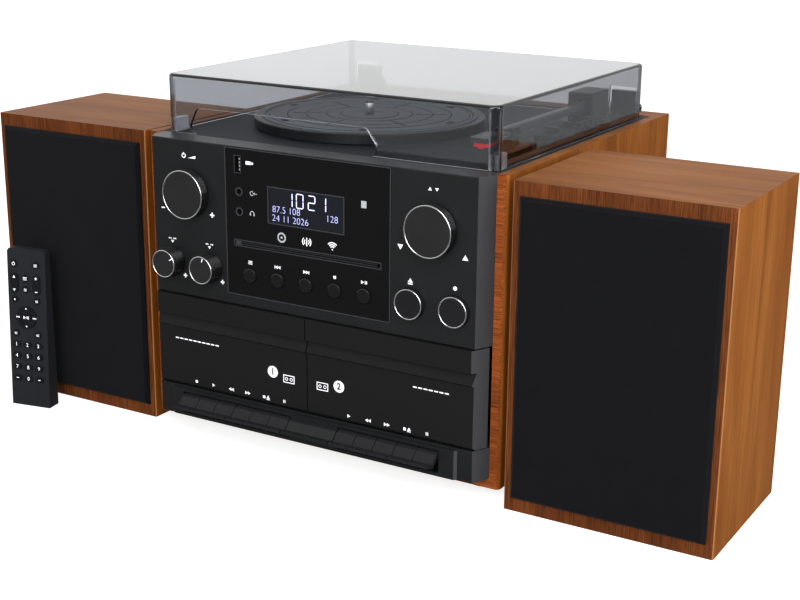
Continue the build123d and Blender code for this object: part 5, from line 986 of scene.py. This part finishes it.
# name, sign, height, column and distance from the remote's foot of each printed key mark
REMOTE_MARKS = (("power", "power", 2.6, 0, 128.5), ("source", "menu", 2.0, 2, 128.5),
                ("left_plus", "up", 2.2, 0, 117.0), ("left_minus", "down", 2.2, 0, 105.0),
                ("right_plus", "plus", 2.4, 2, 117.0), ("right_minus", "minus", 2.4, 2, 105.0),
                ("upper_middle", "menu", 2.4, 1, 116.0), ("lower_middle", "menu", 1.8, 1, 106.0),
                ("upper_left", "stop", 1.4, 0, 96.5), ("upper_right", "menu", 1.6, 2, 96.5),
                ("lower_left", "menu", 1.6, 0, 66.0), ("lower_right", "menu", 1.6, 2, 66.0),
                ("play", "play_pause", 2.6, 1, 81.0), ("bottom_left", "minus", 2.2, 0, 25.1),
                ("bottom_right", "minus", 2.2, 2, 25.1))
for name, kind, size, column, v in REMOTE_MARKS:
    key_mark(name, kind, size, KEY_COLUMNS[column], v)
RING_MARK_R, RING_MARK_H, RING_MIDDLE_V = 8.2, 1.5, 81.0
for name, kind, u, v in (("previous", "previous", -1, 0), ("next", "next", 1, 0), ("ring_up", "up", 0, 1),
                         ("ring_down", "down", 0, -1)):
    key_mark(name, kind, RING_MARK_H, KEY_COLUMNS[1] + u * RING_MARK_R, RING_MIDDLE_V + v * RING_MARK_R)

# ======== studio
FLOOR_HALF = 6.0
FLOOR_WHITE, FLOOR_GLOW, FLOOR_IN_GLOSS = 0.6, 0.78, 0.12
floor_mesh = bpy.data.meshes.new("floor")
floor_corners = [(x, y, 0) for x, y in rectangle(FLOOR_HALF, -FLOOR_HALF, FLOOR_HALF)]
floor_mesh.from_pydata(floor_corners, [], [(0, 1, 2, 3)])
floor = add_object("floor", floor_mesh)


def seen_directly(nodes):
    """1 for rays from the camera and through clear parts, 0 for all others."""
    rays = nodes.node("ShaderNodeLightPath")
    return nodes.combine("MAXIMUM", rays.outputs["Is Camera Ray"], rays.outputs["Is Transmission Ray"])


paper = Finish("studio_floor", (FLOOR_WHITE, FLOOR_WHITE, FLOOR_WHITE, 1), 0.7, specular=0.1)
paper.set("Emission Color", (1, 1, 1, 1))
glow = paper.combine("MULTIPLY", seen_directly(paper), FLOOR_GLOW)
paper.link(glow, paper.shader.inputs["Emission Strength"])
gloss_rays = paper.node("ShaderNodeLightPath")
paper.colour(paper.ramp(gloss_rays.outputs["Is Glossy Ray"], [(0.0, FLOOR_WHITE), (1.0, FLOOR_IN_GLOSS)]))
floor_mesh.materials.append(paper.material)

world = bpy.data.worlds.new("studio")
bpy.context.scene.world = world
world.use_nodes = True
sky = Nodes(world.node_tree)
background = sky.tree.nodes["Background"]
background.inputs["Color"].default_value = (1, 1, 1, 1)
# the room is bright behind and to the left of the set, and dim at its front right
DIM_SIDE, BRIGHT_SIDE, DIM_UP_TO = 0.3, 1.0, -0.2
BRIGHT_WAY = Vector((-0.8, 0.5, 0.3)).normalized()
spot = sky.node("ShaderNodeTexCoord")
towards = sky.node("ShaderNodeVectorMath", operation="DOT_PRODUCT")
sky.feed((spot.outputs["Generated"], BRIGHT_WAY), towards.inputs)
room = sky.node("ShaderNodeMapRange", **{"From Min": DIM_UP_TO, "To Min": DIM_SIDE, "To Max": BRIGHT_SIDE})
sky.link(towards.outputs["Value"], room.inputs["Value"])
sky.link(sky.combine("MAXIMUM", room.outputs["Result"], seen_directly(sky)), background.inputs["Strength"])


def softbox(name, place, target, size, power):
    data = bpy.data.lights.new(name, "AREA")
    data.shape = "RECTANGLE"
    data.size, data.size_y = size
    data.energy = power
    aim = (Vector(target) - Vector(place)).to_track_quat("-Z", "Y").to_matrix().to_4x4()
    add_object(name, data).matrix_world = Matrix.Translation(place) @ aim


# place and target in metres, size in metres and power in watts of each lamp
LAMPS = (("top_light", (0.1, 0.2, 2.1), (0, 0, 0.1), (2.4, 2.0), 8),
         ("right_light", (1.5, -0.4, 0.66), (0.1, 0, 0.15), (0.8, 0.7), 10),
         ("front_light", (0.5, -2.4, 0.95), (0, 0, 0.15), (1.4, 1.4), 33),
         ("ring_light", (0.85, -1.15, 1.4), (0, -0.1, 0.2), (1.3, 1.0), 14))
for lamp in LAMPS:
    softbox(*lamp)

# ======== camera
CAMERA = at(619.9, -920.6, 467.2)
AZIMUTH, ELEVATION, ROLL = radians(30.55), radians(16.76), radians(0.51)
FOCAL_PIXELS, IMAGE_W, SENSOR_MM, CLIP_START = 1463.2, 800, 36.0, 0.05
forward = Vector((-sin(AZIMUTH) * cos(ELEVATION), cos(AZIMUTH) * cos(ELEVATION), -sin(ELEVATION)))
level_right = Vector((cos(AZIMUTH), sin(AZIMUTH), 0))
level_up = level_right.cross(forward)
right = level_right * cos(ROLL) + level_up * sin(ROLL)
up = level_up * cos(ROLL) - level_right * sin(ROLL)
camera_data = bpy.data.cameras.new("camera")
camera_data.sensor_width = SENSOR_MM
camera_data.lens = FOCAL_PIXELS / IMAGE_W * SENSOR_MM
camera_data.clip_start = CLIP_START
camera = add_object("camera", camera_data)
camera.matrix_world = Matrix((right, up, -forward)).transposed().to_4x4()
camera.matrix_world.translation = CAMERA
bpy.context.scene.camera = camera
bpy.context.scene.view_settings.view_transform = "Standard"
